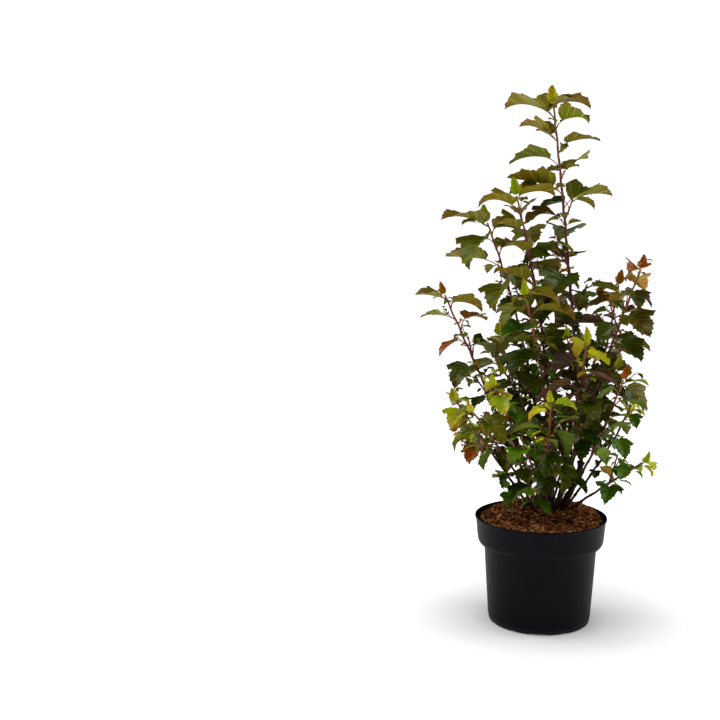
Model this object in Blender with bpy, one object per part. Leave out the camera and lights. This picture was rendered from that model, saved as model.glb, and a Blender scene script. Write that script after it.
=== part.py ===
"""A young ninebark shrub in the black nursery pot that it is sold in.

Metres, +Z up. The origin is the centre of the pot's flat underside, and the shrub is seen from -Y.
Canes rise from one clump in the soil. Each is a bare tapering limb up to its foliage, and each mass of
foliage is one solid: the cane's leafy end, or a side shoot, with its twigs and leaves fused on.
"""

import math
from collections import namedtuple

import bmesh
import bpy
import numpy as np
from mathutils.bvhtree import BVHTree

GAP = 0.0003  # between two solids that touch
UP = np.array((0.0, 0.0, 1.0))
DEPTH = np.array((0.0, 1.0, 0.0))

# The pot: thin black plastic with a deep collar.
POT_HEIGHT = 0.156
POT_SIDES = 36
RIM_RADIUS = 0.095
LIP_NECK = 0.0040  # the lip leaves the collar this far below the top
LIP_UNDER = 0.0028  # and reaches its full width here
LIP_ROUND = 0.0008
COLLAR_TOP_RADIUS = 0.0936
COLLAR_FOOT_RADIUS = 0.0908
COLLAR_FOOT = 0.1210  # height where the collar turns in
COLLAR_STEP = 0.1130  # height where it meets the body
STEP_IN = 0.0030  # the rounded shelf under the collar, between those two
STEP_DOWN = 0.0055
BODY_TOP_RADIUS = 0.0812
BASE_RADIUS = 0.0737
EDGE_ROUND = 0.005  # round of the bottom edge
WALL = 0.0016
FLOOR = 0.003
INNER_STEP_IN = 0.0020  # the same shelf on the inside
INNER_STEP_DOWN = 0.0035
INNER_RISE = 0.0010
DRAIN_SLOTS = 4
SLOT_WIDTH = 0.026
SLOT_HEIGHT = 0.0042
SLOT_DEPTH = 0.011
CUTTER_LONGER = 0.01

# The soil: bark mulch, heaped a little round the clump of canes.
SOIL_EDGE = 0.1495
GROUND = 0.159  # level of the flat patch that the canes rise from
CLUMP = (0.010, 0.036)
CLUMP_RADIUS = 0.036
HEAP_SLOPE = 0.060  # the heap falls to the edge's level over this width
SOIL_ROUGH = 0.0009
SOIL_WAVES = ((150, 40), (-60, 110))  # radians per metre along X and Y
SOIL_RINGS = 7

# Where the canes stand.
FOOT_SPACING = 0.0066
FOOT_SITES = 28
FIRST_SITE = 0.3  # keeps the first place off the very middle
GOLDEN_TURN = math.pi * (3 - math.sqrt(5))
LEAN_SPREAD = 0.030  # a cane that leans over at 60 degrees stands this far out
FULL_LEAN = math.radians(60)
STUMP_ROOM = 0.0095

# Stems, with their radii.
CANE_SIDES = 5
MASS_SIDES = 4
TWIG_SIDES = 3
CHORD_ERROR = 0.0009  # a stem's straight stretches stay this near its curve
FLARE_HEIGHT = 0.012
FLARE = 0.40  # a cane's foot is this share wider
TWIG_THICK = 0.0013
TWIG_THIN = 0.0010
TWIG_EVERY = 3.2  # a twig stands after every so many leaves
TWIG_LENGTH = 0.045
TWIG_SHORTER = 0.45  # the last twig would be this share shorter
TWIG_FROM = 0.03
TWIG_FIRST = 0.4  # of a twig's spacing
TWIG_TURNS = 2.5  # leaves that the first twig is turned past
TWIG_ROUNDING = 0.7
TWIGGY_SHARE = 0.6  # only this lower share of a leafy stem has twigs
TWIG_CLIMB = 1.1  # a shoot's direction: this share of its stem's, and one of outwards
SIDE_CLIMB = 0.55
SHOOT_LIFT = 0.16  # a shoot bends up by this share of its length
SHOOT_SLOW = 0.06
SHOOT_FREE = 0.15  # a shoot or leaf counts as standing in the way from this share on

# Leaves along a stem.
DIVERGENCE = math.radians(172)  # turn from one leaf to the next
LEAF_SPACING = 0.0195
FIRST_LEAF = 0.35  # of a spacing
TIP_CROWDING = 1.25  # leaves stand closer towards a stem's tip the more this is over 1
LOW_LEAF = 0.72  # the lowest leaf's share of full length
LOW_GROWTH = 1.1
END_LEAF = 0.42  # length of the youngest leaf at a stem's tip, as a share of the longest
END_RISE = 0.8
END_STALK = 0.003
TWIG_LEAF = 0.62  # a twig's leaves against its cane's
TWIG_YOUNG = 0.8
TWIG_BARE = 0.35
STEM_BARE = 0.04
TWIG_TURN = 1.0
VARIES = {"stalk": 0.10, "sweep": 0.26, "pitch": 0.40, "roll": 0.30, "droop": 0.5, "length": 0.20}
STALK_CLIMB = 0.75  # a leaf stalk's direction: this share of its stem's
STALK_OUT = 0.70  # and this share of outwards
STALK_SHARE = 0.30
STALK_LEAST = 0.004
YOUNG_STALK = 0.35  # a stem's youngest leaf has this share of a full stalk
STALK_GROWTH = 2.2  # and stalks grow to full length at this rate down the stem
STALK_SUNK = 0.4  # a stalk's root is this share of the stem's radius past its middle
BLADE_AHEAD = 0.15
HANGING = -16  # degrees that the lowest leaves tilt
RISING = 12  # and that the highest rise
HANGING_HEIGHT = 0.20
RISING_HEIGHT = 0.74
ROOM = 0.085  # a mass keeps its leaves this near its own stem
LEAF_FLOOR = 0.163  # no leaf reaches lower
CLEARANCE = 0.0010
GROWN = 1.04  # a leaf is tried this much longer than it is made
STALK_TRIED = 0.45  # only the outer part of a stalk is tried
TIP_TRIED = 0.8
TRIES = ((0.0, 1.0), (0.4, 1.0), (-0.4, 1.0), (0.8, 0.85), (-0.8, 0.85), (0.0, 0.7), (1.2, 0.7))

# One leaf, in shares of its blade's length: half its outline from the stalk to the tip.
LOBED_HALF = ((0.02, 0.28), (0.38, 0.47), (0.54, 0.27))
PLAIN_HALF = ((0.03, 0.27), (0.42, 0.43))
LOBED_FROM = 0.044  # shorter blades have the plain outline
BLADE_MIDDLE = 0.45
FOLD = 0.42  # rise of the blade to each side of its midrib
DROOP = 0.20
LEAF_THICKNESS = 0.020
STALK_WIDTH = 0.0007
STALK_KEEL = 1.5

Stem = namedtuple("Stem", "start run bend thick thin")
Cane = namedtuple("Cane", "name bearing reach top bow thick bare leaf young turn seed sides")
Mass = namedtuple("Mass", "name stem sides twigs leaf young turn seed")
Leaf = namedtuple("Leaf", "root joint axis side normal length droop")

# The old wood that the leader stands on.
STUMP_FOOT = np.array((0.031, 0.046, GROUND + GAP))
STUMP_TOP = np.array((0.0565, 0.020, 0.232))
STUMP_BOW = 0.004
STUMP_THICK = 0.0050
STUMP_THIN = 0.0036

# Bearing of the tip in degrees from +X, its reach from the clump's middle, height of the tip, bow of the
# middle outwards, radius at the foot, bare share, longest blade, share of it at the tip, turn of the top
# leaf in degrees, seed, and the number of side shoots on the bare part.
CANES = (
    Cane("leader", 180, 0.051, 0.742, -0.004, 0.0028, 0.36, 0.064, 1.00, -40, 652, 3),
    Cane("second", -134, 0.076, 0.616, -0.022, 0.0025, 0.44, 0.062, 0.90, 20, 177, 2),
    Cane("left_mid", 175, 0.096, 0.577, -0.018, 0.0024, 0.46, 0.062, 1.00, -160, 128, 2),
    Cane("left_tall", 191, 0.156, 0.474, 0.000, 0.0022, 0.46, 0.046, 0.95, 185, 14, 1),
    Cane("right_tall", -32, 0.139, 0.516, -0.003, 0.0024, 0.58, 0.048, 0.85, -100, 15, 2),
    Cane("right_back", 25, 0.106, 0.485, 0.009, 0.0022, 0.42, 0.054, 0.80, 140, 16, 1),
    Cane("pink", -112, 0.100, 0.480, -0.030, 0.0022, 0.48, 0.056, 0.95, 20, 17, 1),
    Cane("left_low", -160, 0.142, 0.322, 0.000, 0.0021, 0.44, 0.046, 0.85, 80, 18, 0),
    Cane("right_bare", -42, 0.132, 0.365, 0.006, 0.0021, 0.34, 0.044, 0.60, 10, 19, 0),
    Cane("right_mid", 0, 0.116, 0.315, 0.008, 0.0021, 0.32, 0.044, 0.70, 100, 20, 0),
    Cane("right_low", -28, 0.146, 0.246, -0.002, 0.0020, 0.42, 0.042, 0.85, 70, 21, 0),
    Cane("front_right", -67, 0.119, 0.418, 0.020, 0.0022, 0.34, 0.050, 0.75, 140, 122, 1),
    Cane("front", -90, 0.144, 0.340, 0.004, 0.0021, 0.28, 0.044, 0.70, 0, 23, 0),
    Cane("front_left", -107, 0.135, 0.290, 0.004, 0.0020, 0.34, 0.044, 0.75, 58, 24, 0),
    Cane("left_front", -126, 0.131, 0.355, -0.012, 0.0021, 0.34, 0.044, 0.70, 90, 25, 0),
    Cane("left_fan", -131, 0.160, 0.320, -0.008, 0.0020, 0.52, 0.042, 0.80, 130, 26, 0),
    Cane("left_back", 147, 0.107, 0.380, -0.035, 0.0021, 0.42, 0.048, 0.75, 15, 27, 0),
    Cane("back", 86, 0.096, 0.500, -0.012, 0.0023, 0.40, 0.054, 0.80, 75, 28, 0),
    Cane("back_right", 52, 0.122, 0.400, 0.000, 0.0021, 0.36, 0.050, 0.75, 35, 29, 0),
    Cane("back_left", 128, 0.126, 0.400, -0.004, 0.0021, 0.36, 0.050, 0.75, 95, 30, 0),
    Cane("back_low", 74, 0.118, 0.290, 0.000, 0.0020, 0.30, 0.048, 0.75, 55, 31, 0),
)

# Side shoots on the bare part of a cane, from the share SIDE_FROM of it to SIDE_TO.
SIDE_LENGTH = 0.080
SIDE_SHORTER = 0.12  # each is this share shorter than the one below
SIDE_LEAF = 0.044
SIDE_YOUNG = 0.7
SIDE_FROM = 0.42
SIDE_TO = 0.90
SIDE_TURN = 2.6
SIDE_SEED_TURN = 25
SIDE_ATTEMPTS = 8
SEAT_START = 0.005  # a side shoot is drawn back to its cane from here
SEAT_STEPS = 5
ATTEMPT_TURN = 0.7

# Two short shoots on the soil: name, bearing, distance of the foot from the clump, length, longest
# blade, seed.
FOOT_SHOOTS = (
    ("foot_front", -112, 0.040, 0.038, 0.042, 49),
    ("foot_left", -170, 0.034, 0.034, 0.034, 42),
)
FOOT_OUT = 0.6
FOOT_UP = 0.8
FOOT_BOW = 0.1
FOOT_THICKER = 1.2
FOOT_YOUNG = 0.9

# Base colour and roughness.
PLASTIC = ((0.012, 0.012, 0.014), 0.45)
MULCH = ((0.17, 0.065, 0.025), 0.9)
OLD_WOOD = ((0.018, 0.013, 0.012), 0.8)
YOUNG_BARK = ((0.10, 0.022, 0.022), 0.5)
FOLIAGE = ((0.075, 0.13, 0.02), 0.45)


def unit(v):
    """The vector with length 1."""
    return v / np.linalg.norm(v)


def level_way(degrees):
    """Level unit vector along a bearing from +X."""
    angle = math.radians(degrees)
    return np.array((math.cos(angle), math.sin(angle), 0.0))


def at(stem, t):
    """Point of a stem at the share t of its way: start + run t + bend t^2."""
    return stem.start + stem.run * t + stem.bend * t * t


def heading(stem, t):
    """Unit direction of a stem at the share t."""
    return unit(stem.run + 2 * stem.bend * t)


def radius(stem, t):
    """Radius of a stem at the share t."""
    return stem.thick + (stem.thin - stem.thick) * t


def outwards(ahead, turn):
    """Unit vector square to a direction, at an angle round it: 0 is to the right, 90 degrees the back."""
    right = unit(np.cross(DEPTH, ahead))
    return math.cos(turn) * right + math.sin(turn) * np.cross(ahead, right)


def stem_length(stem, first=0.0):
    """Length of a stem from the share first on, by chords."""
    points = np.array([at(stem, t) for t in np.linspace(first, 1.0, 9)])
    return np.linalg.norm(np.diff(points, axis=0), axis=1).sum()


def clump_point(height):
    """The point over the clump's middle."""
    return np.array((*CLUMP, height))


def foot_sites():
    """Evenly spaced places on the clump, as seeds in a sunflower, that leave the stump its own."""
    sites = []
    for k in range(FOOT_SITES):
        out, turn = FOOT_SPACING * math.sqrt(k + FIRST_SITE), k * GOLDEN_TURN
        site = clump_point(GROUND + GAP) + (out * math.cos(turn), out * math.sin(turn), 0.0)
        if np.linalg.norm(site - STUMP_FOOT) > STUMP_ROOM:
            sites.append(site)
    return sites


def lean(cane):
    """How far a cane leans over, in shares of the full lean."""
    return math.atan2(cane.reach, cane.top - GROUND) / FULL_LEAN


def cane_feet():
    """Where each cane stands: the free place nearest to its lean, for the steepest canes first."""
    free = foot_sites()
    feet = {"leader": STUMP_TOP + UP * GAP}
    for cane in sorted(CANES, key=lean):
        if cane.name in feet:
            continue
        wanted = clump_point(GROUND + GAP) + level_way(cane.bearing) * lean(cane) * LEAN_SPREAD
        nearest = min(range(len(free)), key=lambda k: np.linalg.norm(free[k] - wanted))
        feet[cane.name] = free.pop(nearest)
    return feet


def bowed_stem(foot, tip, bow, thick, thin):
    """A stem from its foot to its tip, with a bow of 4 bow t (1 - t) in its middle."""
    return Stem(foot, tip - foot + 4 * bow, -4 * bow, thick, thin)


def cane_stem(cane, foot):
    """The curve of a cane. The leader's reach counts from its own foot, the others' from the clump."""
    out = level_way(cane.bearing)
    tip = (foot if cane.name == "leader" else clump_point(0.0)) + out * cane.reach
    tip[2] = cane.top
    return bowed_stem(foot, tip, out * cane.bow, cane.thick, TWIG_THICK)


def stump_stem():
    """The curve of the old wood, bowed along its level run."""
    run = STUMP_TOP - STUMP_FOOT
    return bowed_stem(STUMP_FOOT, STUMP_TOP, unit(run * (1, 1, 0)) * STUMP_BOW, STUMP_THICK, STUMP_THIN)


def end_stem(cane, stem):
    """The leafy part of a cane: the same curve from its bare share on."""
    rest = 1 - cane.bare
    run = (stem.run + 2 * stem.bend * cane.bare) * rest
    return Stem(at(stem, cane.bare), run, stem.bend * rest**2, radius(stem, cane.bare), stem.thin)


def shoot_stem(stem, t, turn, length, climb):
    """A shoot that leaves the middle of a stem and bends up."""
    run = unit(heading(stem, t) * climb + outwards(heading(stem, t), turn)) * length
    return Stem(at(stem, t), run, UP * length * SHOOT_LIFT - run * SHOOT_SLOW, TWIG_THICK, TWIG_THIN)


def foot_stem(bearing, distance, length):
    """A short shoot that rises from the soil beside the clump."""
    out = level_way(bearing)
    foot = clump_point(GROUND + GAP) + out * distance
    run = (out * FOOT_OUT + UP * FOOT_UP) * length
    return Stem(foot, run, out * length * FOOT_BOW, TWIG_THICK * FOOT_THICKER, TWIG_THIN * FOOT_THICKER)


def tube(stem, first, last, sides, flare=0.0, level_foot=False, level_top=False):
    """A closed tapering tube along a stretch of a stem, its ends square to it or level."""
    bulge = np.linalg.norm(stem.bend) * (last - first) ** 2 / 4
    stretches = max(1, math.ceil(math.sqrt(bulge / CHORD_ERROR)))
    steps = list(np.linspace(first, last, stretches + 1))
    if flare:
        steps.insert(1, first + FLARE_HEIGHT / stem_length(stem))
    points = []
    for t in steps:
        level = (level_foot and t == first) or (level_top and t == last)
        ahead = UP if level else heading(stem, t)
        wide = radius(stem, t) * (1 + (flare if t == first else 0.0))
        points += [at(stem, t) + wide * outwards(ahead, 2 * math.pi * k / sides) for k in range(sides)]
    faces = [tuple(reversed(range(sides))), tuple(range(len(points) - sides, len(points)))]
    for ring in range(len(steps) - 1):
        for side in range(sides):
            a, b = ring * sides + side, ring * sides + (side + 1) % sides
            faces.append((a, b, b + sides, a + sides))
    return np.array(points), faces


def cane_shape(cane, stem):
    """The solid of a cane's bare part, which ends the gap short of its leafy part."""
    bare_end = cane.bare - GAP / stem_length(stem)
    return tube(stem, 0.0, bare_end, CANE_SIDES, 0.0 if cane.name == "leader" else FLARE, level_foot=True)


def seated(shoot, out, surface):
    """A shoot moved out of its limb, or back to it, until its foot is the gap away from the surface."""
    shoot = shoot._replace(start=shoot.start + out * SEAT_START)
    for _ in range(SEAT_STEPS):
        foot = tube(shoot, 0.0, 1.0, TWIG_SIDES)[0][:TWIG_SIDES]
        rim = [*foot, *(foot + np.roll(foot, 1, axis=0)) / 2]
        near = min(surface.find_nearest(point.tolist())[3] for point in rim)
        shoot = shoot._replace(start=shoot.start - out * (near - GAP))
    return shoot


def blade_tilt(height):
    """Slope of a blade's midrib in radians: low leaves hang and high ones rise a little."""
    share = min(1.0, max(0.0, (height - HANGING_HEIGHT) / (RISING_HEIGHT - HANGING_HEIGHT)))
    return math.radians(HANGING + (RISING - HANGING) * share)


def leaf_on(stem, t, turn, length, draw):
    """A leaf's place and pose: a stalk that climbs from the stem, and a blade with its tip outwards."""
    here, ahead = at(stem, t), heading(stem, t)
    out = outwards(ahead, turn)
    stalk = unit(ahead * STALK_CLIMB + out * STALK_OUT)
    grown = min(1.0, YOUNG_STALK + STALK_GROWTH * (1 - t))
    joint = here + stalk * (length * grown * (STALK_SHARE + VARIES["stalk"] * draw[0]) + STALK_LEAST)
    level = out + ahead * BLADE_AHEAD
    sweep = math.atan2(level[1], level[0]) + VARIES["sweep"] * draw[1]
    pitch = blade_tilt(joint[2]) + VARIES["pitch"] * draw[2]
    axis = math.cos(pitch) * level_way(math.degrees(sweep)) + math.sin(pitch) * UP
    side = unit(np.cross(UP, axis))
    roll = VARIES["roll"] * draw[3]
    side = math.cos(roll) * side + math.sin(roll) * np.cross(axis, side)
    root = here - stalk * radius(stem, t) * STALK_SUNK
    droop = DROOP * (1 + VARIES["droop"] * draw[4])
    return Leaf(root, joint, axis, side, np.cross(axis, side), length, droop)


def end_leaf(stem, length):
    """The youngest leaf, that stands up from a stem's very tip."""
    ahead, tip = heading(stem, 1.0), at(stem, 1.0)
    axis = unit(ahead + UP * END_RISE)
    side = unit(np.cross(axis, DEPTH))
    stalk = ahead * END_STALK
    return Leaf(tip - stalk, tip + stalk, axis, side, np.cross(axis, side), length, 0.0)


def leaf_mesh(leaf, room=0.0, stalk_from=0.0):
    """One closed leaf: a lens over the outline, folded up from its midrib, on a three-sided stalk.

    Its blade and stalk are wider by the room that it is tried with, to each side.
    """
    half = LOBED_HALF if leaf.length >= LOBED_FROM else PLAIN_HALF
    outline = [(x, -y) for x, y in half] + [(1.0, 0.0)] + [(x, y) for x, y in reversed(half)]

    def blade_point(x, y, lift=0.0):
        height = leaf.length * (FOLD * abs(y) - leaf.droop * x * x) + lift
        return leaf.joint + leaf.length * (x * leaf.axis + y * leaf.side) + height * leaf.normal

    root = leaf.root + (leaf.joint - leaf.root) * stalk_from
    along = unit(leaf.joint - leaf.root)
    side = unit(leaf.side - along * along.dot(leaf.side))
    above = np.cross(along, side)
    wide = STALK_WIDTH + room
    points = [root + side * wide, root - side * wide, root - above * wide * STALK_KEEL]
    points += [leaf.joint + leaf.side * wide, leaf.joint - leaf.side * wide]
    points.append(leaf.joint - unit(above + leaf.normal) * wide * STALK_KEEL)
    points += [blade_point(x, y) for x, y in outline]
    lift = LEAF_THICKNESS * leaf.length / 2 + room
    points += [blade_point(BLADE_MIDDLE, 0.0, lift), blade_point(BLADE_MIDDLE, 0.0, -lift)]
    a0, b0, c0, a, b, c = range(6)
    top, bottom = len(points) - 2, len(points) - 1
    loop = [b, *range(6, top), a]
    faces = [(a0, c0, b0), (b, a, a0, b0), (a, c, c0, a0), (c, b, b0, c0)]
    faces += [(top, a, b), (bottom, c, a), (bottom, b, c)]
    for p, q in zip(loop, loop[1:]):
        faces += [(top, p, q), (bottom, q, p)]
    return np.array(points), faces


class Crowd:
    """What already stands in the crown, for telling whether a new leaf would touch it."""

    def __init__(self):
        self.items = []

    def add(self, points, faces):
        """Takes in one more shape."""
        tree = BVHTree.FromPolygons(points.tolist(), faces)
        self.items.append((points.min(axis=0), points.max(axis=0), tree))

    def touches(self, points, faces):
        """Whether a shape's surface meets any that is in the crowd."""
        low, high = points.min(axis=0), points.max(axis=0)
        own = BVHTree.FromPolygons(points.tolist(), faces)
        near = [tree for least, most, tree in self.items if (least < high).all() and (most > low).all()]
        return any(own.overlap(tree) for tree in near)


def fits(leaf, stem, crowd, stalk_from=STALK_TRIED):
    """Whether a leaf keeps to its mass's room and clears everything that stands already."""
    points, faces = leaf_mesh(leaf._replace(length=leaf.length * GROWN), CLEARANCE, stalk_from)
    spine = np.array([at(stem, t) for t in np.linspace(0, 1, 15)])
    away = np.linalg.norm(points[:, None] - spine[None], axis=2).min(axis=1)
    return away.max() <= ROOM and points[:, 2].min() >= LEAF_FLOOR and not crowd.touches(points, faces)


def stem_leaves(stem, first, length, young, turn, rng, crowd):
    """Leaves along a stem from the share first to its tip, each a fixed turn on from the one before.

    A leaf that doesn't fit in its place is turned a little, then made smaller, then skipped.
    """
    leaves = []
    count = max(2, round(stem_length(stem, first) / LEAF_SPACING))
    for i in range(count):
        u = 1 - (1 - (i + FIRST_LEAF) / count) ** TIP_CROWDING
        draw = rng.uniform(-1, 1, 6)
        grown = length * (1 - (1 - young) * u**3) * min(1.0, LOW_LEAF + LOW_GROWTH * u)
        grown *= 1 + VARIES["length"] * draw[5]
        facing = turn - (count - 1 - i) * DIVERGENCE
        for aside, share in TRIES:
            leaf = leaf_on(stem, first + (1 - first) * u, facing + aside, grown * share, draw)
            if fits(leaf, stem, crowd):
                crowd.add(*leaf_mesh(leaf, stalk_from=SHOOT_FREE))
                leaves.append(leaf)
                break
    return leaves


def cane_mass(cane, stem):
    """The mass on a cane's leafy end, with the twigs of its lower part."""
    end = end_stem(cane, stem)
    twigs = []
    count = int(stem_length(end) * TWIGGY_SHARE / (LEAF_SPACING * TWIG_EVERY) + TWIG_ROUNDING)
    for i in range(count):
        t = TWIG_FROM + TWIGGY_SHARE * (i + TWIG_FIRST) / count
        turn = math.radians(cane.turn) + (i * TWIG_EVERY + TWIG_TURNS) * DIVERGENCE
        length = TWIG_LENGTH * (1 - TWIG_SHORTER * t)
        twigs.append(shoot_stem(end, t, turn, length, TWIG_CLIMB))
    name = cane.name + "_foliage"
    return Mass(name, end, MASS_SIDES, twigs, cane.leaf, cane.young, cane.turn, cane.seed)


def side_masses(cane, stem, crowd):
    """The side shoots on the bare part of a cane, each turned on until it clears every limb."""
    masses = []
    points, faces = cane_shape(cane, stem)
    surface = BVHTree.FromPolygons(points.tolist(), faces)
    for k in range(cane.sides):
        share = SIDE_FROM + (SIDE_TO - SIDE_FROM) * (k + 0.5) / cane.sides
        length = SIDE_LENGTH * (1 - SIDE_SHORTER * k)
        for attempt in range(SIDE_ATTEMPTS):
            turn = math.radians(cane.turn) + k * SIDE_TURN + attempt * ATTEMPT_TURN
            out = outwards(heading(stem, share * cane.bare), turn)
            shoot = seated(shoot_stem(stem, share * cane.bare, turn, length, SIDE_CLIMB), out, surface)
            shape = tube(shoot, 0.0, 1.0, TWIG_SIDES)
            if not crowd.touches(*shape):
                crowd.add(*shape)
                name, seed = f"{cane.name}_side_{k + 1}", cane.seed * 10 + k
                turn = seed * SIDE_SEED_TURN
                masses.append(Mass(name, shoot, TWIG_SIDES, [], SIDE_LEAF, SIDE_YOUNG, turn, seed))
                break
    return masses


def foot_masses():
    """The short shoots on the soil."""
    masses = []
    for name, bearing, distance, length, leaf, seed in FOOT_SHOOTS:
        shoot = foot_stem(bearing, distance, length)
        masses.append(Mass(name, shoot, TWIG_SIDES, [], leaf, FOOT_YOUNG, bearing, seed))
    return masses


def mass_parts(mass, crowd):
    """The stem, twigs and leaves of a mass, each one closed shape. A twig with no leaf on it is left out."""
    rng = np.random.default_rng(mass.seed)
    turn = math.radians(mass.turn)
    on_soil = mass.name.startswith("foot")
    parts = [tube(mass.stem, 0.0, 1.0, mass.sides, level_foot=on_soil)]
    tip = end_leaf(mass.stem, mass.leaf * END_LEAF)
    leaves = []
    if fits(tip, mass.stem, crowd, TIP_TRIED):
        crowd.add(*leaf_mesh(tip, stalk_from=SHOOT_FREE))
        leaves.append(tip)
    leaves += stem_leaves(mass.stem, STEM_BARE, mass.leaf, mass.young, turn, rng, crowd)
    for twig in mass.twigs:
        length = mass.leaf * TWIG_LEAF
        grown = stem_leaves(twig, TWIG_BARE, length, TWIG_YOUNG, turn + TWIG_TURN, rng, crowd)
        if grown:
            leaves += grown
            parts.append(tube(twig, 0.0, 1.0, TWIG_SIDES))
    return parts + [leaf_mesh(leaf) for leaf in leaves]


def new_material(name, colour, roughness):
    """A plain surface of one colour."""
    material = bpy.data.materials.new(name)
    material.use_nodes = True
    surface = material.node_tree.nodes["Principled BSDF"]
    surface.inputs["Base Color"].default_value = (*colour, 1.0)
    surface.inputs["Roughness"].default_value = roughness
    return material


def new_object(name, points, faces, material, smooth=False):
    """An object in the scene from points and faces."""
    mesh = bpy.data.meshes.new(name)
    mesh.from_pydata([tuple(p) for p in points], [], faces)
    mesh.validate()
    mesh.materials.append(material)
    if smooth:
        mesh.shade_smooth()
        mesh.set_sharp_from_angle(angle=math.radians(40))
    thing = bpy.data.objects.new(name, mesh)
    bpy.context.scene.collection.objects.link(thing)
    return thing


def turned(profile, sides):
    """Points and faces of a closed profile of (radius, height) turned round the Z axis, ends on the axis."""
    points, faces = [(0.0, 0.0, profile[0][1])], []
    for wide, high in profile[1:-1]:
        for k in range(sides):
            angle = 2 * math.pi * k / sides
            points.append((wide * math.cos(angle), wide * math.sin(angle), high))
    points.append((0.0, 0.0, profile[-1][1]))
    rings = len(profile) - 2
    last = 1 + (rings - 1) * sides
    for k in range(sides):
        after = (k + 1) % sides
        faces.append((0, 1 + after, 1 + k))
        faces.append((len(points) - 1, last + k, last + after))
        for ring in range(rings - 1):
            a, b = 1 + ring * sides + k, 1 + ring * sides + after
            faces.append((a, b, b + sides, a + sides))
    return np.array(points), faces


def pot_outside():
    """The outer profile from the underside's edge to the lip, as (radius, height)."""
    inset = EDGE_ROUND * (1 - math.sin(math.pi / 4))
    return [
        (BASE_RADIUS - EDGE_ROUND, 0.0),
        (BASE_RADIUS - inset, inset),
        (BASE_RADIUS, EDGE_ROUND),
        (BODY_TOP_RADIUS, COLLAR_STEP),
        (COLLAR_FOOT_RADIUS - STEP_IN, COLLAR_FOOT - STEP_DOWN),
        (COLLAR_FOOT_RADIUS, COLLAR_FOOT),
        (COLLAR_TOP_RADIUS, POT_HEIGHT - LIP_NECK),
        (RIM_RADIUS, POT_HEIGHT - LIP_UNDER),
        (RIM_RADIUS, POT_HEIGHT - LIP_ROUND),
    ]


def pot_inside():
    """The inner profile from the floor to the lip, one wall in from the outer one."""
    return [
        (BASE_RADIUS - WALL - EDGE_ROUND / 2, FLOOR),
        (BASE_RADIUS - WALL, EDGE_ROUND),
        (BODY_TOP_RADIUS - WALL, COLLAR_STEP + INNER_RISE),
        (COLLAR_FOOT_RADIUS - WALL - INNER_STEP_IN, COLLAR_FOOT - INNER_STEP_DOWN),
        (COLLAR_FOOT_RADIUS - WALL, COLLAR_FOOT + INNER_RISE),
        (COLLAR_TOP_RADIUS - WALL, POT_HEIGHT - LIP_UNDER),
    ]


def make_pot(material):
    """The pot as one turned solid, with drain slots cut through its bottom edge."""
    lip = [(RIM_RADIUS - LIP_ROUND, POT_HEIGHT), (COLLAR_TOP_RADIUS - WALL + LIP_ROUND, POT_HEIGHT)]
    profile = [(0.0, 0.0), *pot_outside(), *lip, *reversed(pot_inside()), (0.0, FLOOR)]
    pot = new_object("pot", *turned(profile, POT_SIDES), material, smooth=True)
    for k in range(DRAIN_SLOTS):
        slot = slot_cutter(f"drain_slot_{k + 1}", level_way(360 * k / DRAIN_SLOTS - 90), material)
        cut = pot.modifiers.new(slot.name, "BOOLEAN")
        cut.operation = "DIFFERENCE"
        cut.object = slot


def slot_cutter(name, out, material):
    """A hidden block that cuts one drain slot: through the bottom edge and up into the pot."""
    aside = np.cross(UP, out) * SLOT_WIDTH / 2
    inner, outer = out * (BASE_RADIUS - SLOT_DEPTH), out * (BASE_RADIUS + CUTTER_LONGER)
    level = np.array((inner - aside, outer - aside, outer + aside, inner + aside))
    points = np.concatenate((level - UP * CUTTER_LONGER, level + UP * SLOT_HEIGHT))
    faces = [(0, 3, 2, 1), (4, 5, 6, 7), (0, 1, 5, 4), (1, 2, 6, 5), (2, 3, 7, 6), (3, 0, 4, 7)]
    slot = new_object(name, points, faces, material)
    slot.hide_render = True
    slot.display_type = "WIRE"
    return slot


def soil_height(x, y):
    """Height of the soil: heaped round the clump, flat where the canes stand, uneven towards the rim."""
    away = math.hypot(x - CLUMP[0], y - CLUMP[1])
    fall = min(1.0, max(0.0, (away - CLUMP_RADIUS) / HEAP_SLOPE))
    (ax, ay), (bx, by) = SOIL_WAVES
    rough = SOIL_ROUGH * math.sin(ax * x + ay * y) * math.cos(bx * x + by * y) * fall
    return SOIL_EDGE + (GROUND - SOIL_EDGE) * (1 - fall * fall * (3 - 2 * fall)) + rough


def make_soil(material):
    """The soil as one solid that fills the pot: the inner profile less the gap, under a heaped top."""
    inside = pot_inside()
    edge = np.interp(SOIL_EDGE, *zip(*[(high, wide) for wide, high in inside])) - GAP
    below = [(wide - GAP, high + GAP) for wide, high in inside[:-1]]
    top = [(edge * (1 - k / SOIL_RINGS), SOIL_EDGE) for k in range(SOIL_RINGS + 1)]
    points, faces = turned([(0.0, FLOOR + GAP), *below, *top], POT_SIDES // 2)
    for point in points:
        if point[2] == SOIL_EDGE:
            point[2] = soil_height(point[0], point[1])
    new_object("soil", points, faces, material)


def join_mass(name, parts, material):
    """One solid from a stem and what grows on it, by one Boolean union over a collection."""
    body = new_object(name, *parts[0], material)
    grown = bpy.data.collections.new(name + "_grown")
    for number, shape in enumerate(parts[1:]):
        piece = new_object(f"{name}_{number}", *shape, material)
        bpy.context.scene.collection.objects.unlink(piece)
        grown.objects.link(piece)
    bpy.context.scene.collection.children.link(grown)
    union = body.modifiers.new("grown together", "BOOLEAN")
    union.operation = "UNION"
    union.operand_type = "COLLECTION"
    union.collection = grown
    union.solver = "MANIFOLD"
    bpy.context.view_layer.update()
    joined = bpy.data.meshes.new_from_object(body.evaluated_get(bpy.context.evaluated_depsgraph_get()))
    body.modifiers.clear()
    body.data = joined
    for piece in list(grown.objects):
        bpy.data.objects.remove(piece)
    bpy.data.collections.remove(grown)
    keep_largest(joined)


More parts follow.
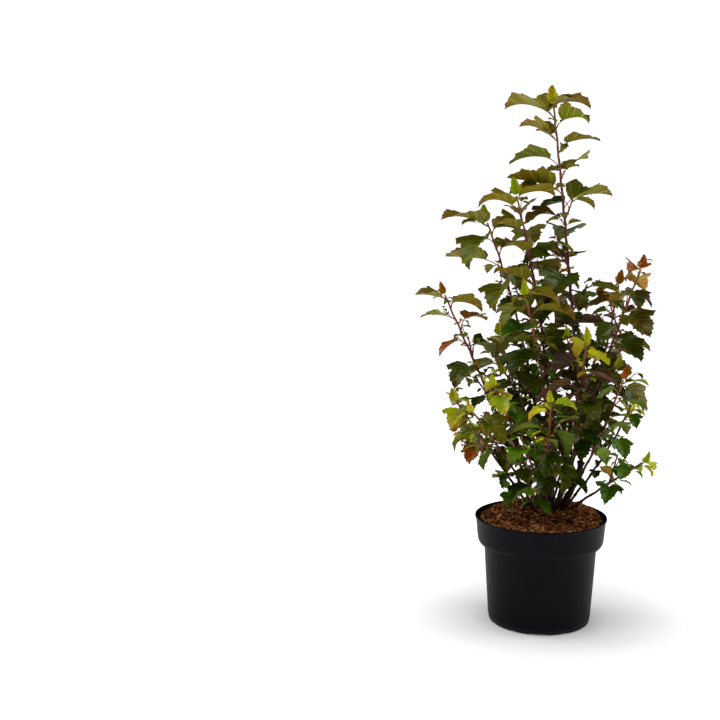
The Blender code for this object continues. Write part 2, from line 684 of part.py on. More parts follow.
def keep_largest(mesh):
    """Drops the loose scraps and the sealed hollows that fusing can leave."""
    shape = bmesh.new()
    shape.from_mesh(mesh)
    left = set(shape.faces)
    groups = []
    while left:
        queue = [left.pop()]
        group = set(queue)
        while queue:
            for edge in queue.pop().edges:
                for face in left.intersection(edge.link_faces):
                    left.discard(face)
                    group.add(face)
                    queue.append(face)
        groups.append(group)
    largest = max(groups, key=len)
    bmesh.ops.delete(shape, geom=[face for face in shape.faces if face not in largest], context="FACES")
    shape.to_mesh(mesh)
    shape.free()


def make_limbs(crowd):
    """The old wood and the bare canes, as solids and in the crowd. It returns each cane with its curve."""
    old_wood = new_material("old_wood", *OLD_WOOD)
    young_bark = new_material("young_bark", *YOUNG_BARK)
    shape = tube(stump_stem(), 0.0, 1.0, CANE_SIDES, FLARE, level_foot=True, level_top=True)
    new_object("old_stump", *shape, old_wood, smooth=True)
    crowd.add(*shape)
    feet = cane_feet()
    canes = []
    for cane in CANES:
        stem = cane_stem(cane, feet[cane.name])
        shape = cane_shape(cane, stem)
        new_object(cane.name + "_cane", *shape, young_bark, smooth=True)
        crowd.add(*shape)
        canes.append((cane, stem))
    return canes


def main():
    """Clears the scene, then makes the pot, the soil, the limbs and the masses of foliage."""
    for thing in list(bpy.data.objects):
        bpy.data.objects.remove(thing)
    make_pot(new_material("black_plastic", *PLASTIC))
    make_soil(new_material("bark_mulch", *MULCH))
    crowd = Crowd()
    canes = make_limbs(crowd)
    masses = [cane_mass(cane, stem) for cane, stem in canes]
    for mass in masses:
        crowd.add(*tube(mass.stem, 0.0, 1.0, mass.sides))
        for twig in mass.twigs:
            crowd.add(*tube(twig, SHOOT_FREE, 1.0, TWIG_SIDES))
    for cane, stem in canes:
        masses += side_masses(cane, stem, crowd)
    masses += foot_masses()
    foliage = new_material("foliage", *FOLIAGE)
    for mass in masses:
        join_mass(mass.name, mass_parts(mass, crowd), foliage)


main()
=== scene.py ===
"""A young ninebark shrub in its black nursery pot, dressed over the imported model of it.

Metres, +Z up. The origin is the middle of the pot's flat underside, and the shrub is seen from -Y.
The sections follow the plant as it is potted: the pot, the bark mulch, the old wood, the canes, the
foliage, and then the studio around it.
"""

import math
from collections import namedtuple

import bpy
import numpy as np
from mathutils.bvhtree import BVHTree
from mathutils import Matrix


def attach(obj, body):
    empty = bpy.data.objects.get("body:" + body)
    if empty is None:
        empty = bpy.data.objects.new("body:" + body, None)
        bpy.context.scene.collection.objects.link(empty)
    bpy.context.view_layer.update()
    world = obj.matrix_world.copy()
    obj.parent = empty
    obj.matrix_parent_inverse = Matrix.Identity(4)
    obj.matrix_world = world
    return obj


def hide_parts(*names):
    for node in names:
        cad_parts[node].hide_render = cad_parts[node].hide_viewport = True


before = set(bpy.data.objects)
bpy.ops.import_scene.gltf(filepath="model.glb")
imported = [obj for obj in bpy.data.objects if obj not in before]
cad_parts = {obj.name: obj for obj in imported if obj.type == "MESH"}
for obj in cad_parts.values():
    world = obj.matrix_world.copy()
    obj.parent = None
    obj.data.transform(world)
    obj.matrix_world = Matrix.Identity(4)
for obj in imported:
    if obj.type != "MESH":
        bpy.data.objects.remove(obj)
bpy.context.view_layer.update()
limb_nodes = [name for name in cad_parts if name.endswith("_cane") or name == "old_stump"]
mass_nodes = [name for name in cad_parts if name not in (*limb_nodes, "pot", "soil")]

# ---------------------------------------------------------------------------------------------------
# The pot: a 3 litre nursery container, injection moulded in recycled black polypropylene. A deep
# collar stands out from the body on a rounded shelf, and drain slots are cut into the bottom edge.

POT_HEIGHT = 0.156
RIM_RADIUS = 0.095
COLLAR_TOP_RADIUS = 0.0936
COLLAR_FOOT_RADIUS = 0.0908
COLLAR_FOOT = 0.1210
COLLAR_STEP = 0.1130
BODY_TOP_RADIUS = 0.0812
BASE_RADIUS = 0.0737
WALL = 0.0016
LEDGE_HEIGHT = 0.0085  # a faint line round the body over the drain slots
LEDGE_IN = 0.0006
FLOOR = 0.003
ANGLES = 144
DRAIN_SLOTS = 4
SLOT_WIDTH = 0.026
SLOT_HEIGHT = 0.0042
SLOT_DEPTH = 0.011
SLOT_ROOF = 0.0012
SLOT_NUDGE = 0.003  # radians that a column of points stands to each side of a slot's edge
ARCHES = 12  # shallow arches between the feet of the bottom edge
ARCH_HEIGHT = 0.0022
ARCH_SHAPE = 0.7  # how blunt the arches are
ARCH_CLEAR = 0.004  # no arch comes nearer to a slot
HAIR = 0.0001  # slack in telling what lies at an edge
SURFACE = "Principled BSDF"  # the shader that a material's surface has
UP = np.array((0.0, 0.0, 1.0))
DEPTH = np.array((0.0, 1.0, 0.0))

# The pot's wall from the middle of its underside round to its floor inside: radius, height, and how far
# each corner is rounded.
POT_PROFILE = (
    (0.0, 0.0, 0.0),
    (BASE_RADIUS - SLOT_DEPTH - 0.0002, 0.0, 0.0),
    (BASE_RADIUS - SLOT_DEPTH, 0.0, 0.0),
    (BASE_RADIUS - 0.0008, 0.0, 0.0035),
    (BASE_RADIUS + 0.0001, LEDGE_HEIGHT - 0.0006, 0.0),
    (BASE_RADIUS + LEDGE_IN, LEDGE_HEIGHT, 0.0003),
    (BODY_TOP_RADIUS, COLLAR_STEP, 0.0008),
    (COLLAR_FOOT_RADIUS - 0.0035, COLLAR_STEP + 0.0016, 0.0030),
    (COLLAR_FOOT_RADIUS, COLLAR_FOOT, 0.0022),
    (COLLAR_TOP_RADIUS, POT_HEIGHT - 0.0040, 0.0008),
    (RIM_RADIUS, POT_HEIGHT - 0.0030, 0.0007),
    (RIM_RADIUS, POT_HEIGHT, 0.0008),
    (COLLAR_TOP_RADIUS - WALL, POT_HEIGHT, 0.0007),
    (COLLAR_TOP_RADIUS - WALL - 0.0002, POT_HEIGHT - 0.0030, 0.0005),
    (COLLAR_FOOT_RADIUS - WALL, COLLAR_FOOT + 0.0010, 0.0020),
    (BODY_TOP_RADIUS - WALL, COLLAR_STEP + 0.0010, 0.0008),
    (BASE_RADIUS - WALL, FLOOR, 0.0020),
    (0.0, FLOOR, 0.0),
)


def colour(code):
    """Linear RGBA of an sRGB hex code: ((c + 0.055) / 1.055) ** 2.4, or c / 12.92 near black."""
    shares = [int(code[k : k + 2], 16) / 255 for k in (1, 3, 5)]
    return (*[((c + 0.055) / 1.055) ** 2.4 if c > 0.04045 else c / 12.92 for c in shares], 1.0)


def add_node(material, kind, values=None):
    """One node in a material's or the world's tree. Values are its properties, what its sockets take, which
    is a number, a hex code or another node's output, and under "ramp" a ramp's stops as (place, hex)."""
    node = material.node_tree.nodes.new("ShaderNode" + kind)
    for key, value in (values or {}).items():
        if key == "ramp":
            stops = node.color_ramp.elements
            while len(stops) < len(value):
                stops.new(0.5)
            for stop, (place, code) in zip(stops, value):
                stop.position, stop.color = place, colour(code)
        elif isinstance(value, bpy.types.NodeSocket):
            material.node_tree.links.new(value, node.inputs[key])
        elif isinstance(key, str) and hasattr(node, key):
            setattr(node, key, value)
        else:
            node.inputs[key].default_value = colour(value) if isinstance(value, str) else value
    return node


def new_material(name, values):
    """A material with plain values on its surface shader's own sockets. It returns the material and the
    output that gives a point's place."""
    material = bpy.data.materials.new(name)
    material.use_nodes = True
    for socket, value in values.items():
        material.node_tree.nodes[SURFACE].inputs[socket].default_value = value
    return material, add_node(material, "TexCoord").outputs["Object"]


def feed(material, source, socket, node=SURFACE):
    """One link from an output to a socket of a material's surface shader, or of another node."""
    material.node_tree.links.new(source, material.node_tree.nodes[node].inputs[socket])


def noise(material, place, scale, detail=2.0, roughness=0.5):
    """A cloudy noise from 0 to 1."""
    settings = {"Scale": scale, "Detail": detail, "Roughness": roughness, "Vector": place}
    return add_node(material, "TexNoise", settings).outputs["Fac"]


def own_value(material, name):
    """The number of that name that a piece has at each point."""
    return add_node(material, "Attribute", {"attribute_name": name}).outputs["Fac"]


def ramp(material, source, *stops):
    """The colour that a ramp with stops of (place, hex code) gives a value."""
    return add_node(material, "ValToRGB", {"ramp": stops, "Fac": source}).outputs["Color"]


def scaled(material, source, to, over=(0.0, 1.0)):
    """A value that runs between two numbers where its source runs over two others."""
    (low, high), (start, end) = to, over
    settings = {"From Min": start, "From Max": end, "To Min": low, "To Max": high, "Value": source}
    return add_node(material, "MapRange", settings).outputs["Result"]


def mix(material, factor, first, second, blend="MIX"):
    """Two colours mixed by a factor."""
    settings = {"data_type": "RGBA", "blend_type": blend, 0: factor, 6: first, 7: second}
    return add_node(material, "Mix", settings).outputs[2]


def maths(material, operation, *values, clamp=False):
    """The result of arithmetic on numbers and other nodes' outputs."""
    settings = {"operation": operation, "use_clamp": clamp, **dict(enumerate(values))}
    return add_node(material, "Math", settings).outputs[0]


def bumpy(material, height, strength, distance):
    """Bumps on a material's surface."""
    bump = add_node(material, "Bump", {"Strength": strength, "Distance": distance, "Height": height})
    feed(material, bump.outputs["Normal"], "Normal")


def add_object(name, data):
    """An object in the scene that shows a mesh, a lamp or a camera."""
    thing = bpy.data.objects.new(name, data)
    bpy.context.scene.collection.objects.link(thing)
    return thing


def new_piece(name, points, faces, materials, values=None, sharp=40, face_material=None, uv=None):
    """A piece that rides on the root body, from an array of points and arrays of faces. Values are one
    number a point by name, face_material is a material's number a face, and uv is a pair a point."""
    mesh = bpy.data.meshes.new(name)
    mesh.from_pydata(points.tolist(), [], [face for group in faces for face in group.tolist()])
    for material in materials:
        mesh.materials.append(material)
    for key, numbers in (values or {}).items():
        mesh.attributes.new(key, "FLOAT", "POINT").data.foreach_set("value", np.asarray(numbers, float))
    if face_material is not None:
        mesh.polygons.foreach_set("material_index", np.asarray(face_material, np.int32))
    if uv is not None:
        corners = np.empty(len(mesh.loops), np.int32)
        mesh.loops.foreach_get("vertex_index", corners)
        mesh.uv_layers.new(name="surface").data.foreach_set("uv", uv[corners].ravel())
    mesh.shade_smooth()
    mesh.set_sharp_from_angle(angle=math.radians(sharp))
    thing = add_object(name, mesh)
    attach(thing, "root")
    return thing


def bent(a, c, b, s):
    """Points from A to B that bend towards C: (1-s)^2 A + 2 s (1-s) C + s^2 B."""
    return (1 - s) ** 2 * a + 2 * s * (1 - s) * c + s**2 * b


def rounded(corners, cuts=5):
    """A profile with its inner corners rounded. Each becomes a bend between two points on its sides, at the
    distance that its third number gives."""
    corners = np.array(corners)
    points, reach = corners[:, :2], corners[1:-1, 2:]
    back, ahead = points[:-2] - points[1:-1], points[2:] - points[1:-1]
    a = points[1:-1] + back / np.linalg.norm(back, axis=1, keepdims=True) * reach
    b = points[1:-1] + ahead / np.linalg.norm(ahead, axis=1, keepdims=True) * reach
    s = np.linspace(0, 1, cuts)[None, :, None]
    curve = bent(a[:, None], points[1:-1, None], b[:, None], s)
    curve[reach[:, 0] == 0] = points[1:-1][reach[:, 0] == 0][:, None]
    keep = np.ones(curve.shape[:2], bool)
    keep[reach[:, 0] == 0, 1:] = False
    return np.concatenate((points[:1], curve[keep], points[-1:]))


def ring_faces(rings, sides, start=0):
    """Quads between neighbouring closed rings of points that follow one another."""
    row = start + np.arange(rings - 1)[:, None] * sides
    a, b = row + np.arange(sides), row + (np.arange(sides) + 1) % sides
    return np.stack((a, b, b + sides, a + sides), axis=-1).reshape(-1, 4)


def cap_faces(first, sides, pole, upward):
    """Triangles from the ring of points that starts at first to one pole above or below it."""
    a, b = first + np.arange(sides), first + (np.arange(sides) + 1) % sides
    poles = np.full(sides, pole)
    return np.stack((a, b, poles) if upward else (b, a, poles), axis=-1)


def turned(profile, angles):
    """The profile (r, z) turned round the axis: (r cos a, r sin a, z), with its ends as poles."""
    ring = profile[1:-1]
    sides = len(angles)
    x, y = ring[:, :1] * np.cos(angles), ring[:, :1] * np.sin(angles)
    z = np.broadcast_to(ring[:, 1:], x.shape)
    points = np.stack((x, y, z), axis=-1).reshape(-1, 3)
    points = np.vstack((points, (0, 0, profile[0, 1]), (0, 0, profile[-1, 1])))
    last = (len(ring) - 1) * sides
    caps = [cap_faces(0, sides, len(points) - 2, False), cap_faces(last, sides, len(points) - 1, True)]
    return points, [ring_faces(len(ring), sides), *caps]


def pot_edge(points):
    """The bottom edge with its drain slots and arches. Near the edge, a height is raised to at least
    SLOT_HEIGHT in a slot, and between slots to ARCH_HEIGHT (1 - |sin(ARCHES a / 2)|^ARCH_SHAPE) at the
    angle a. The floor's inside is raised SLOT_ROOF more."""
    out = np.hypot(points[:, 0], points[:, 1])
    angle = np.arctan2(points[:, 1], points[:, 0])
    turn = 2 * math.pi / DRAIN_SLOTS
    aside = np.abs((angle + turn / 2) % turn - turn / 2) * BASE_RADIUS
    arched = 1 - np.abs(np.sin(ARCHES / 2 * angle)) ** ARCH_SHAPE
    arch = ARCH_HEIGHT * arched * (aside > SLOT_WIDTH / 2 + ARCH_CLEAR)
    lift = np.where(aside < SLOT_WIDTH / 2, SLOT_HEIGHT, arch)
    edge = out > BASE_RADIUS - SLOT_DEPTH - HAIR
    inside = (points[:, 2] >= FLOOR - HAIR) & (out < BASE_RADIUS - WALL / 2)
    height = np.where(inside, lift + SLOT_ROOF, lift)
    points[:, 2] = np.where(edge, np.maximum(points[:, 2], height), points[:, 2])
    return points


slot_edges = [
    turn + side * (SLOT_WIDTH / 2 / BASE_RADIUS) + nudge
    for turn in np.arange(DRAIN_SLOTS) * 2 * math.pi / DRAIN_SLOTS
    for side in (-1, 1)
    for nudge in (-SLOT_NUDGE, SLOT_NUDGE)
]
even_angles = np.linspace(0, 2 * math.pi, ANGLES, endpoint=False)
angles = np.sort(np.concatenate((even_angles, np.array(slot_edges))))
pot_points, pot_faces = turned(rounded(POT_PROFILE), angles)
pot_points = pot_edge(pot_points)

# Recycled polypropylene, moulded: near black, a satin that dust from the nursery dulls in soft patches,
# with a painted light on its foot: a paler band where the floor would light the ledge.
plastic, place = new_material("moulded black polypropylene", {"IOR": 1.49, "Specular IOR Level": 0.07})
patches = noise(plastic, place, scale=45.0, detail=6.0, roughness=0.65)
specks = noise(plastic, place, scale=900.0)
dust = ramp(plastic, patches, (0.35, "#08070d"), (0.62, "#0c0a12"), (0.85, "#19161c"))
fleck = ramp(plastic, specks, (0.66, "#000000"), (0.74, "#2e2b2a"))
dusty = mix(plastic, 0.35, dust, fleck, "SCREEN")
height = add_node(plastic, "SeparateXYZ", {"Vector": place}).outputs["Z"]
# painted light: below 7.5 mm the plastic turns towards a paler grey, standing in for light from the floor
painted_foot_light = scaled(plastic, height, to=(0.0, 0.8), over=(0.0075, 0.0055))
feed(plastic, mix(plastic, painted_foot_light, dusty, "#24222a"), "Base Color")
feed(plastic, scaled(plastic, patches, to=(0.38, 0.62)), "Roughness")
bumpy(plastic, specks, strength=0.12, distance=0.0004)
pot = new_piece("nursery_pot", pot_points, pot_faces, [plastic])
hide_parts("pot")

# ---------------------------------------------------------------------------------------------------
# The mulch: red-brown pine bark chips of 2 to 12 mm, poured loose and heaped round the clump of canes,
# over darker compost that shows between them.

SOIL_EDGE = 0.1495
GROUND = 0.159
CLUMP = (0.010, 0.036)
CLUMP_RADIUS = 0.036
HEAP_SLOPE = 0.060
SOIL_ROUGH = 0.0009
SOIL_WAVES = ((150, 40), (-60, 110))
SOIL_RADIUS = 0.0896
SOIL_FOOT = 0.0062
SOIL_RINGS = 46
SOIL_SECTORS = 120
SOIL_INNERMOST = 0.02  # share of the radius at which the last ring lies
FILL_GAP = 0.0008  # between the compost and the pot's wall
CLOD = 0.0011  # height of the clods in the compost
CLOD_SUNK = 0.0006  # and how far they lie under the chips' level
CLOD_WAVES = ((700, 320, 0.0), (-410, 820, 1.3), (1500, -900, 0.0))
WALL_HEAP = 0.0030  # the chips lie this much higher where they lean on the pot's wall
CHIPS = 3200
CHIP_LEAST = 0.0022
CHIP_MOST = 0.0125
CHIP_WIDTHS = (0.22, 0.55)  # shares of a chip's length
CHIP_THICKNESSES = (0.10, 0.26)
CHIP_JITTER = 0.32
CHIP_SIZING = (1.3, 3.6)  # the beta draw of their lengths, by which most are short
CHIP_TILTS = (0.28, 0.35)  # how far they pitch and roll, in radians
CHIP_SHADES = (0.54, 0.30)  # middle and spread
CHIP_LIFT = (-0.0010, 0.0012)
CRUMBS = 26
CRUMB_LENGTHS = (0.0012, 0.0026)
CRUMB_ROOM = (0.0004, 0.0008)  # from the lip's inner and outer edge
CRUMB_LIFT = 0.0003


def soil_height(x, y):
    """Height of the soil: level at the clump, falling by the smooth step 3t^2 - 2t^3 to the rim."""
    away = np.hypot(x - CLUMP[0], y - CLUMP[1])
    fall = np.clip((away - CLUMP_RADIUS) / HEAP_SLOPE, 0, 1)
    (ax, ay), (bx, by) = SOIL_WAVES
    rough = SOIL_ROUGH * np.sin(ax * x + ay * y) * np.cos(bx * x + by * y) * fall
    return SOIL_EDGE + (GROUND - SOIL_EDGE) * (1 - fall * fall * (3 - 2 * fall)) + rough


def heaped(x, y):
    """Height of the loose mulch: the soil's, with WALL_HEAP (r / R)^6 more towards the pot's wall."""
    return soil_height(x, y) + WALL_HEAP * (np.hypot(x, y) / SOIL_RADIUS) ** 6


def clods(x, y):
    """Small uneven lumps of 4 to 9 mm: sin A sin B + sin C / 2, with A, B and C from CLOD_WAVES."""
    first, second, fine = (np.sin(a * x + b * y + c) for a, b, c in CLOD_WAVES)
    return first * second + 0.5 * fine


def slabs(centre, length, width, thick, yaw, pitch, roll, jitter):
    """Irregular chips: a box's eight corners, each moved by its own jitter, then turned and placed."""
    corner = np.array([(a, b, c) for a in (-0.5, 0.5) for b in (-0.5, 0.5) for c in (-0.5, 0.5)])
    shape = corner[None] * (1 + jitter) * np.stack((length, width, thick), axis=-1)[:, None]
    ahead = np.stack((np.cos(yaw) * np.cos(pitch), np.sin(yaw) * np.cos(pitch), np.sin(pitch)), axis=-1)
    aside = np.stack((-np.sin(yaw), np.cos(yaw), 0 * yaw), axis=-1)
    above = np.cross(ahead, aside)
    tilt = np.cos(roll)[:, None] * aside + np.sin(roll)[:, None] * above
    above = np.cross(ahead, tilt)
    turned_to = np.stack((ahead, tilt, above), axis=1)
    points = centre[:, None] + np.einsum("nij,njk->nik", shape, turned_to)
    quads = np.array(((0, 1, 3, 2), (4, 6, 7, 5), (0, 4, 5, 1), (2, 3, 7, 6), (0, 2, 6, 4), (1, 5, 7, 3)))
    faces = quads[None] + 8 * np.arange(len(centre))[:, None, None]
    return points.reshape(-1, 3), faces.reshape(-1, 4)


rings = np.linspace(1, SOIL_INNERMOST, SOIL_RINGS) * SOIL_RADIUS
soil_heights = (SOIL_FOOT, COLLAR_STEP, COLLAR_FOOT)
inner_radii = [wide - WALL for wide in (BASE_RADIUS, BODY_TOP_RADIUS, COLLAR_FOOT_RADIUS)]
side_wall = np.interp(soil_heights, (0.0, COLLAR_STEP, COLLAR_FOOT), inner_radii) - FILL_GAP
soil_profile = [(0, SOIL_FOOT), *zip(side_wall, soil_heights)]
soil_profile += [(ring, SOIL_EDGE) for ring in rings] + [(0, GROUND)]
soil_points, soil_faces = turned(
    np.array(soil_profile), np.linspace(0, 2 * math.pi, SOIL_SECTORS, endpoint=False)
)
on_top = soil_points[:, 2] >= SOIL_EDGE
x, y = soil_points[on_top, 0], soil_points[on_top, 1]
soil_points[on_top, 2] = heaped(x, y) + CLOD * clods(x, y) / 2 - CLOD_SUNK

# Damp peat compost: nearly black-brown and rough, so the chips stand out on it.
compost, place = new_material("peat compost", {"Roughness": 0.95, "Specular IOR Level": 0.25})
lumps = noise(compost, place, scale=420.0, detail=8.0)
tone = ramp(compost, lumps, (0.30, "#120a07"), (0.55, "#2a160d"), (0.75, "#4d2a18"))
feed(compost, tone, "Base Color")
bumpy(compost, lumps, strength=0.8, distance=0.0015)
heap = new_piece("compost", soil_points, soil_faces, [compost])

# Shredded pine bark: red-brown, split surfaces with a fibrous grain, some chips pale and some wet dark.
bark_chip, place = new_material("pine bark chips", {"Roughness": 0.8, "Specular IOR Level": 0.3})
shades = ((0.0, "#2c170a"), (0.28, "#6c3414"), (0.6, "#aa5c28"), (0.85, "#d28646"), (1.0, "#ecb474"))
tone = ramp(bark_chip, own_value(bark_chip, "shade"), *shades)
fibres = noise(bark_chip, place, scale=1100.0, detail=4.0)
grained = mix(bark_chip, 1.0, tone, scaled(bark_chip, fibres, to=(0.55, 1.25)), "MULTIPLY")
feed(bark_chip, grained, "Base Color")
bumpy(bark_chip, fibres, strength=0.5, distance=0.0006)


def chip_piece(name, centre, length, rng):
    """Chips at given places. Their long sides lie nearly level, and each has one shade."""
    count = len(centre)
    width = length * rng.uniform(*CHIP_WIDTHS, count)
    thick = length * rng.uniform(*CHIP_THICKNESSES, count)
    turns = rng.uniform(0, 2 * math.pi, count), *[rng.normal(0, tilt, count) for tilt in CHIP_TILTS]
    jitter = rng.uniform(-CHIP_JITTER, CHIP_JITTER, (count, 8, 3))
    points, faces = slabs(centre, length, width, thick, *turns, jitter)
    shade = np.repeat(np.clip(rng.normal(*CHIP_SHADES, count), 0, 1), 8)
    piece = new_piece(name, points, [faces], [bark_chip], {"shade": shade}, sharp=30)
    return piece


rng = np.random.default_rng(7)
length = CHIP_LEAST + (CHIP_MOST - CHIP_LEAST) * rng.beta(*CHIP_SIZING, CHIPS)
out = np.sqrt(rng.uniform(0, 1, CHIPS)) * (SOIL_RADIUS - FILL_GAP - length / 2)
turn = rng.uniform(0, 2 * math.pi, CHIPS)
x, y = out * np.cos(turn), out * np.sin(turn)
z = heaped(x, y) + rng.uniform(*CHIP_LIFT, CHIPS)
mulch = chip_piece("bark_mulch", np.stack((x, y, z), axis=-1), length, rng)
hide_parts("soil")
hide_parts("soil")

# Crumbs of bark that fell on the lip when the pot was topped up.
turn = rng.uniform(0, 2 * math.pi, CRUMBS)
out = rng.uniform(COLLAR_TOP_RADIUS - WALL + CRUMB_ROOM[0], RIM_RADIUS - CRUMB_ROOM[1], CRUMBS)
on_lip = np.full(CRUMBS, POT_HEIGHT + CRUMB_LIFT)
centre = np.stack((out * np.cos(turn), out * np.sin(turn), on_lip), axis=-1)
chip_piece("bark_crumbs", centre, rng.uniform(*CRUMB_LENGTHS, CRUMBS), rng)

# ---------------------------------------------------------------------------------------------------
# The wood: an old pruned stump with the leader on it, and canes of one season from the same clump. Each
# cane is one tapering limb from the soil to its tip, with a swelling at each node.

FOOT_SPACING = 0.0066
FOOT_SITES = 28
FIRST_SITE = 0.3
GOLDEN_TURN = math.pi * (3 - math.sqrt(5))
LEAN_SPREAD = 0.030
FULL_LEAN = math.radians(60)
STUMP_ROOM = 0.0095
GAP = 0.0003
FLARE_HEIGHT = 0.012
FLARE = 0.40
TWIG_THICK = 0.0013
TWIG_THIN = 0.0010
STUMP_FOOT = np.array((0.031, 0.046, GROUND + GAP))
STUMP_TOP = np.array((0.0565, 0.020, 0.232))
STUMP_BOW = 0.004
STUMP_THICK = 0.0050
STUMP_THIN = 0.0036
LEAF_SPACING = 0.0195
NODE_SWELL = 0.24
NODE_WIDTH = 0.0022
ZIGZAG = 0.0006  # a cane turns this much aside at each node
ZIGZAG_ENDS = (0.02, 0.01)  # and comes back to its line over this much of its foot and its tip
CANE_RINGS = 150
BARK_SIDES = 12
FOOT_YOUTH = 0.08  # a cane's bark is this young at its foot, on a scale to 1
TIP_YOUTH = 0.95
PINK_BLUSH = 0.75
PINK_LENGTH = 0.12  # the pink cane's colour comes in over this much of it
PINK_FROM = 0.3  # and starts this share of that above the foot
FLARE_SHAPE = 1.5
CHORDS = 9  # points by which a stem's length is measured
BARK_RELIEF = 0.035
STUMP_RINGS = 60
STUMP_SIDES = 20
STUMP_ZIGZAG = 0.0008
STUMP_RELIEF = 0.06
CALLUS = 0.35  # swelling of the stump's top, which fades over the width
CALLUS_WIDTH = 0.006
STUMP_YOUTH = 0.02
POLE_IN = 0.3  # a limb's foot and tip are closed by poles this many radii out
POLE_OUT = 0.6

Stem = namedtuple("Stem", "start run bend thick thin")
Cane = namedtuple("Cane", "name bearing reach top bow thick bare leaf young turn seed sides")

# Bearing of the tip in degrees from +X, its reach from the clump's middle, height of the tip, bow of the
# middle outwards, radius at the foot, bare share, longest blade, share of it at the tip, turn of the top
# leaf in degrees, seed, and the number of side shoots on the bare part.
CANES = (
    Cane("leader", 180, 0.051, 0.742, -0.004, 0.0028, 0.36, 0.064, 1.00, -40, 652, 3),
    Cane("second", -134, 0.076, 0.616, -0.022, 0.0025, 0.44, 0.062, 0.90, 20, 177, 2),
    Cane("left_mid", 175, 0.096, 0.577, -0.018, 0.0024, 0.46, 0.062, 1.00, -160, 128, 2),
    Cane("left_tall", 191, 0.156, 0.474, 0.000, 0.0022, 0.46, 0.046, 0.95, 185, 14, 1),
    Cane("right_tall", -32, 0.139, 0.516, -0.003, 0.0024, 0.58, 0.048, 0.85, -100, 15, 2),
    Cane("right_back", 25, 0.106, 0.485, 0.009, 0.0022, 0.42, 0.054, 0.80, 140, 16, 1),
    Cane("pink", -112, 0.100, 0.480, -0.030, 0.0022, 0.48, 0.056, 0.95, 20, 17, 1),
    Cane("left_low", -160, 0.142, 0.322, 0.000, 0.0021, 0.44, 0.046, 0.85, 80, 18, 0),
    Cane("right_bare", -42, 0.132, 0.365, 0.006, 0.0021, 0.34, 0.044, 0.60, 10, 19, 0),
    Cane("right_mid", 0, 0.116, 0.315, 0.008, 0.0021, 0.32, 0.044, 0.70, 100, 20, 0),
    Cane("right_low", -28, 0.146, 0.246, -0.002, 0.0020, 0.42, 0.042, 0.85, 70, 21, 0),
    Cane("front_right", -67, 0.119, 0.418, 0.020, 0.0022, 0.34, 0.050, 0.75, 140, 122, 1),
    Cane("front", -90, 0.144, 0.340, 0.004, 0.0021, 0.28, 0.044, 0.70, 0, 23, 0),
    Cane("front_left", -107, 0.135, 0.290, 0.004, 0.0020, 0.34, 0.044, 0.75, 58, 24, 0),
    Cane("left_front", -126, 0.131, 0.355, -0.012, 0.0021, 0.34, 0.044, 0.70, 90, 25, 0),
    Cane("left_fan", -131, 0.160, 0.320, -0.008, 0.0020, 0.52, 0.042, 0.80, 130, 26, 0),
    Cane("left_back", 147, 0.107, 0.380, -0.035, 0.0021, 0.42, 0.048, 0.75, 15, 27, 0),
    Cane("back", 86, 0.096, 0.500, -0.012, 0.0023, 0.40, 0.054, 0.80, 75, 28, 0),
    Cane("back_right", 52, 0.122, 0.400, 0.000, 0.0021, 0.36, 0.050, 0.75, 35, 29, 0),
    Cane("back_left", 128, 0.126, 0.400, -0.004, 0.0021, 0.36, 0.050, 0.75, 95, 30, 0),
    Cane("back_low", 74, 0.118, 0.290, 0.000, 0.0020, 0.30, 0.048, 0.75, 55, 31, 0),
)


def unit(v):
    """The vector or vectors with length 1."""
    return v / np.linalg.norm(v, axis=-1, keepdims=True)


def level_way(degrees):
    """Level unit vector along a bearing from +X."""
    angle = math.radians(degrees)
    return np.array((math.cos(angle), math.sin(angle), 0.0))


def at(stem, t):
    """Point of a stem at the share t of its way: start + run t + bend t^2."""
    return stem.start + stem.run * t + stem.bend * t * t


def heading(stem, t):
    """Unit direction of a stem at the share t."""
    return unit(stem.run + 2 * stem.bend * t)


def radius(stem, t):
    """Radius of a stem at the share t."""
    return stem.thick + (stem.thin - stem.thick) * t


def outwards(ahead, turn):
    """Unit vector square to a direction, at an angle round it: 0 is to the right, 90 degrees the back."""
    right = unit(np.cross(DEPTH, ahead))
    return math.cos(turn) * right + math.sin(turn) * np.cross(ahead, right)


def stem_length(stem, first=0.0):
    """Length of a stem from the share first on, by chords."""
    points = np.array([at(stem, t) for t in np.linspace(first, 1.0, CHORDS)])
    return np.linalg.norm(np.diff(points, axis=0), axis=1).sum()


def clump_point(height):
    """The point over the clump's middle."""
    return np.array((*CLUMP, height))


def foot_sites():
    """Evenly spaced places on the clump, as seeds in a sunflower, that leave the stump its own."""
    sites = []
    for k in range(FOOT_SITES):
        out, turn = FOOT_SPACING * math.sqrt(k + FIRST_SITE), k * GOLDEN_TURN
        site = clump_point(GROUND + GAP) + (out * math.cos(turn), out * math.sin(turn), 0.0)
        if np.linalg.norm(site - STUMP_FOOT) > STUMP_ROOM:
            sites.append(site)
    return sites


def lean(cane):
    """How far a cane leans over, in shares of the full lean."""
    return math.atan2(cane.reach, cane.top - GROUND) / FULL_LEAN


def cane_feet():
    """Where each cane stands: the free place nearest to its lean, for the steepest canes first."""
    free = foot_sites()
    feet = {"leader": STUMP_TOP + UP * GAP}
    for cane in sorted(CANES, key=lean):
        if cane.name in feet:
            continue
        wanted = clump_point(GROUND + GAP) + level_way(cane.bearing) * lean(cane) * LEAN_SPREAD
        nearest = min(range(len(free)), key=lambda k: np.linalg.norm(free[k] - wanted))
        feet[cane.name] = free.pop(nearest)
    return feet


def bowed_stem(foot, tip, bow, thick, thin):
    """A stem from its foot to its tip, with a bow of 4 bow t (1 - t) in its middle."""
    return Stem(foot, tip - foot + 4 * bow, -4 * bow, thick, thin)


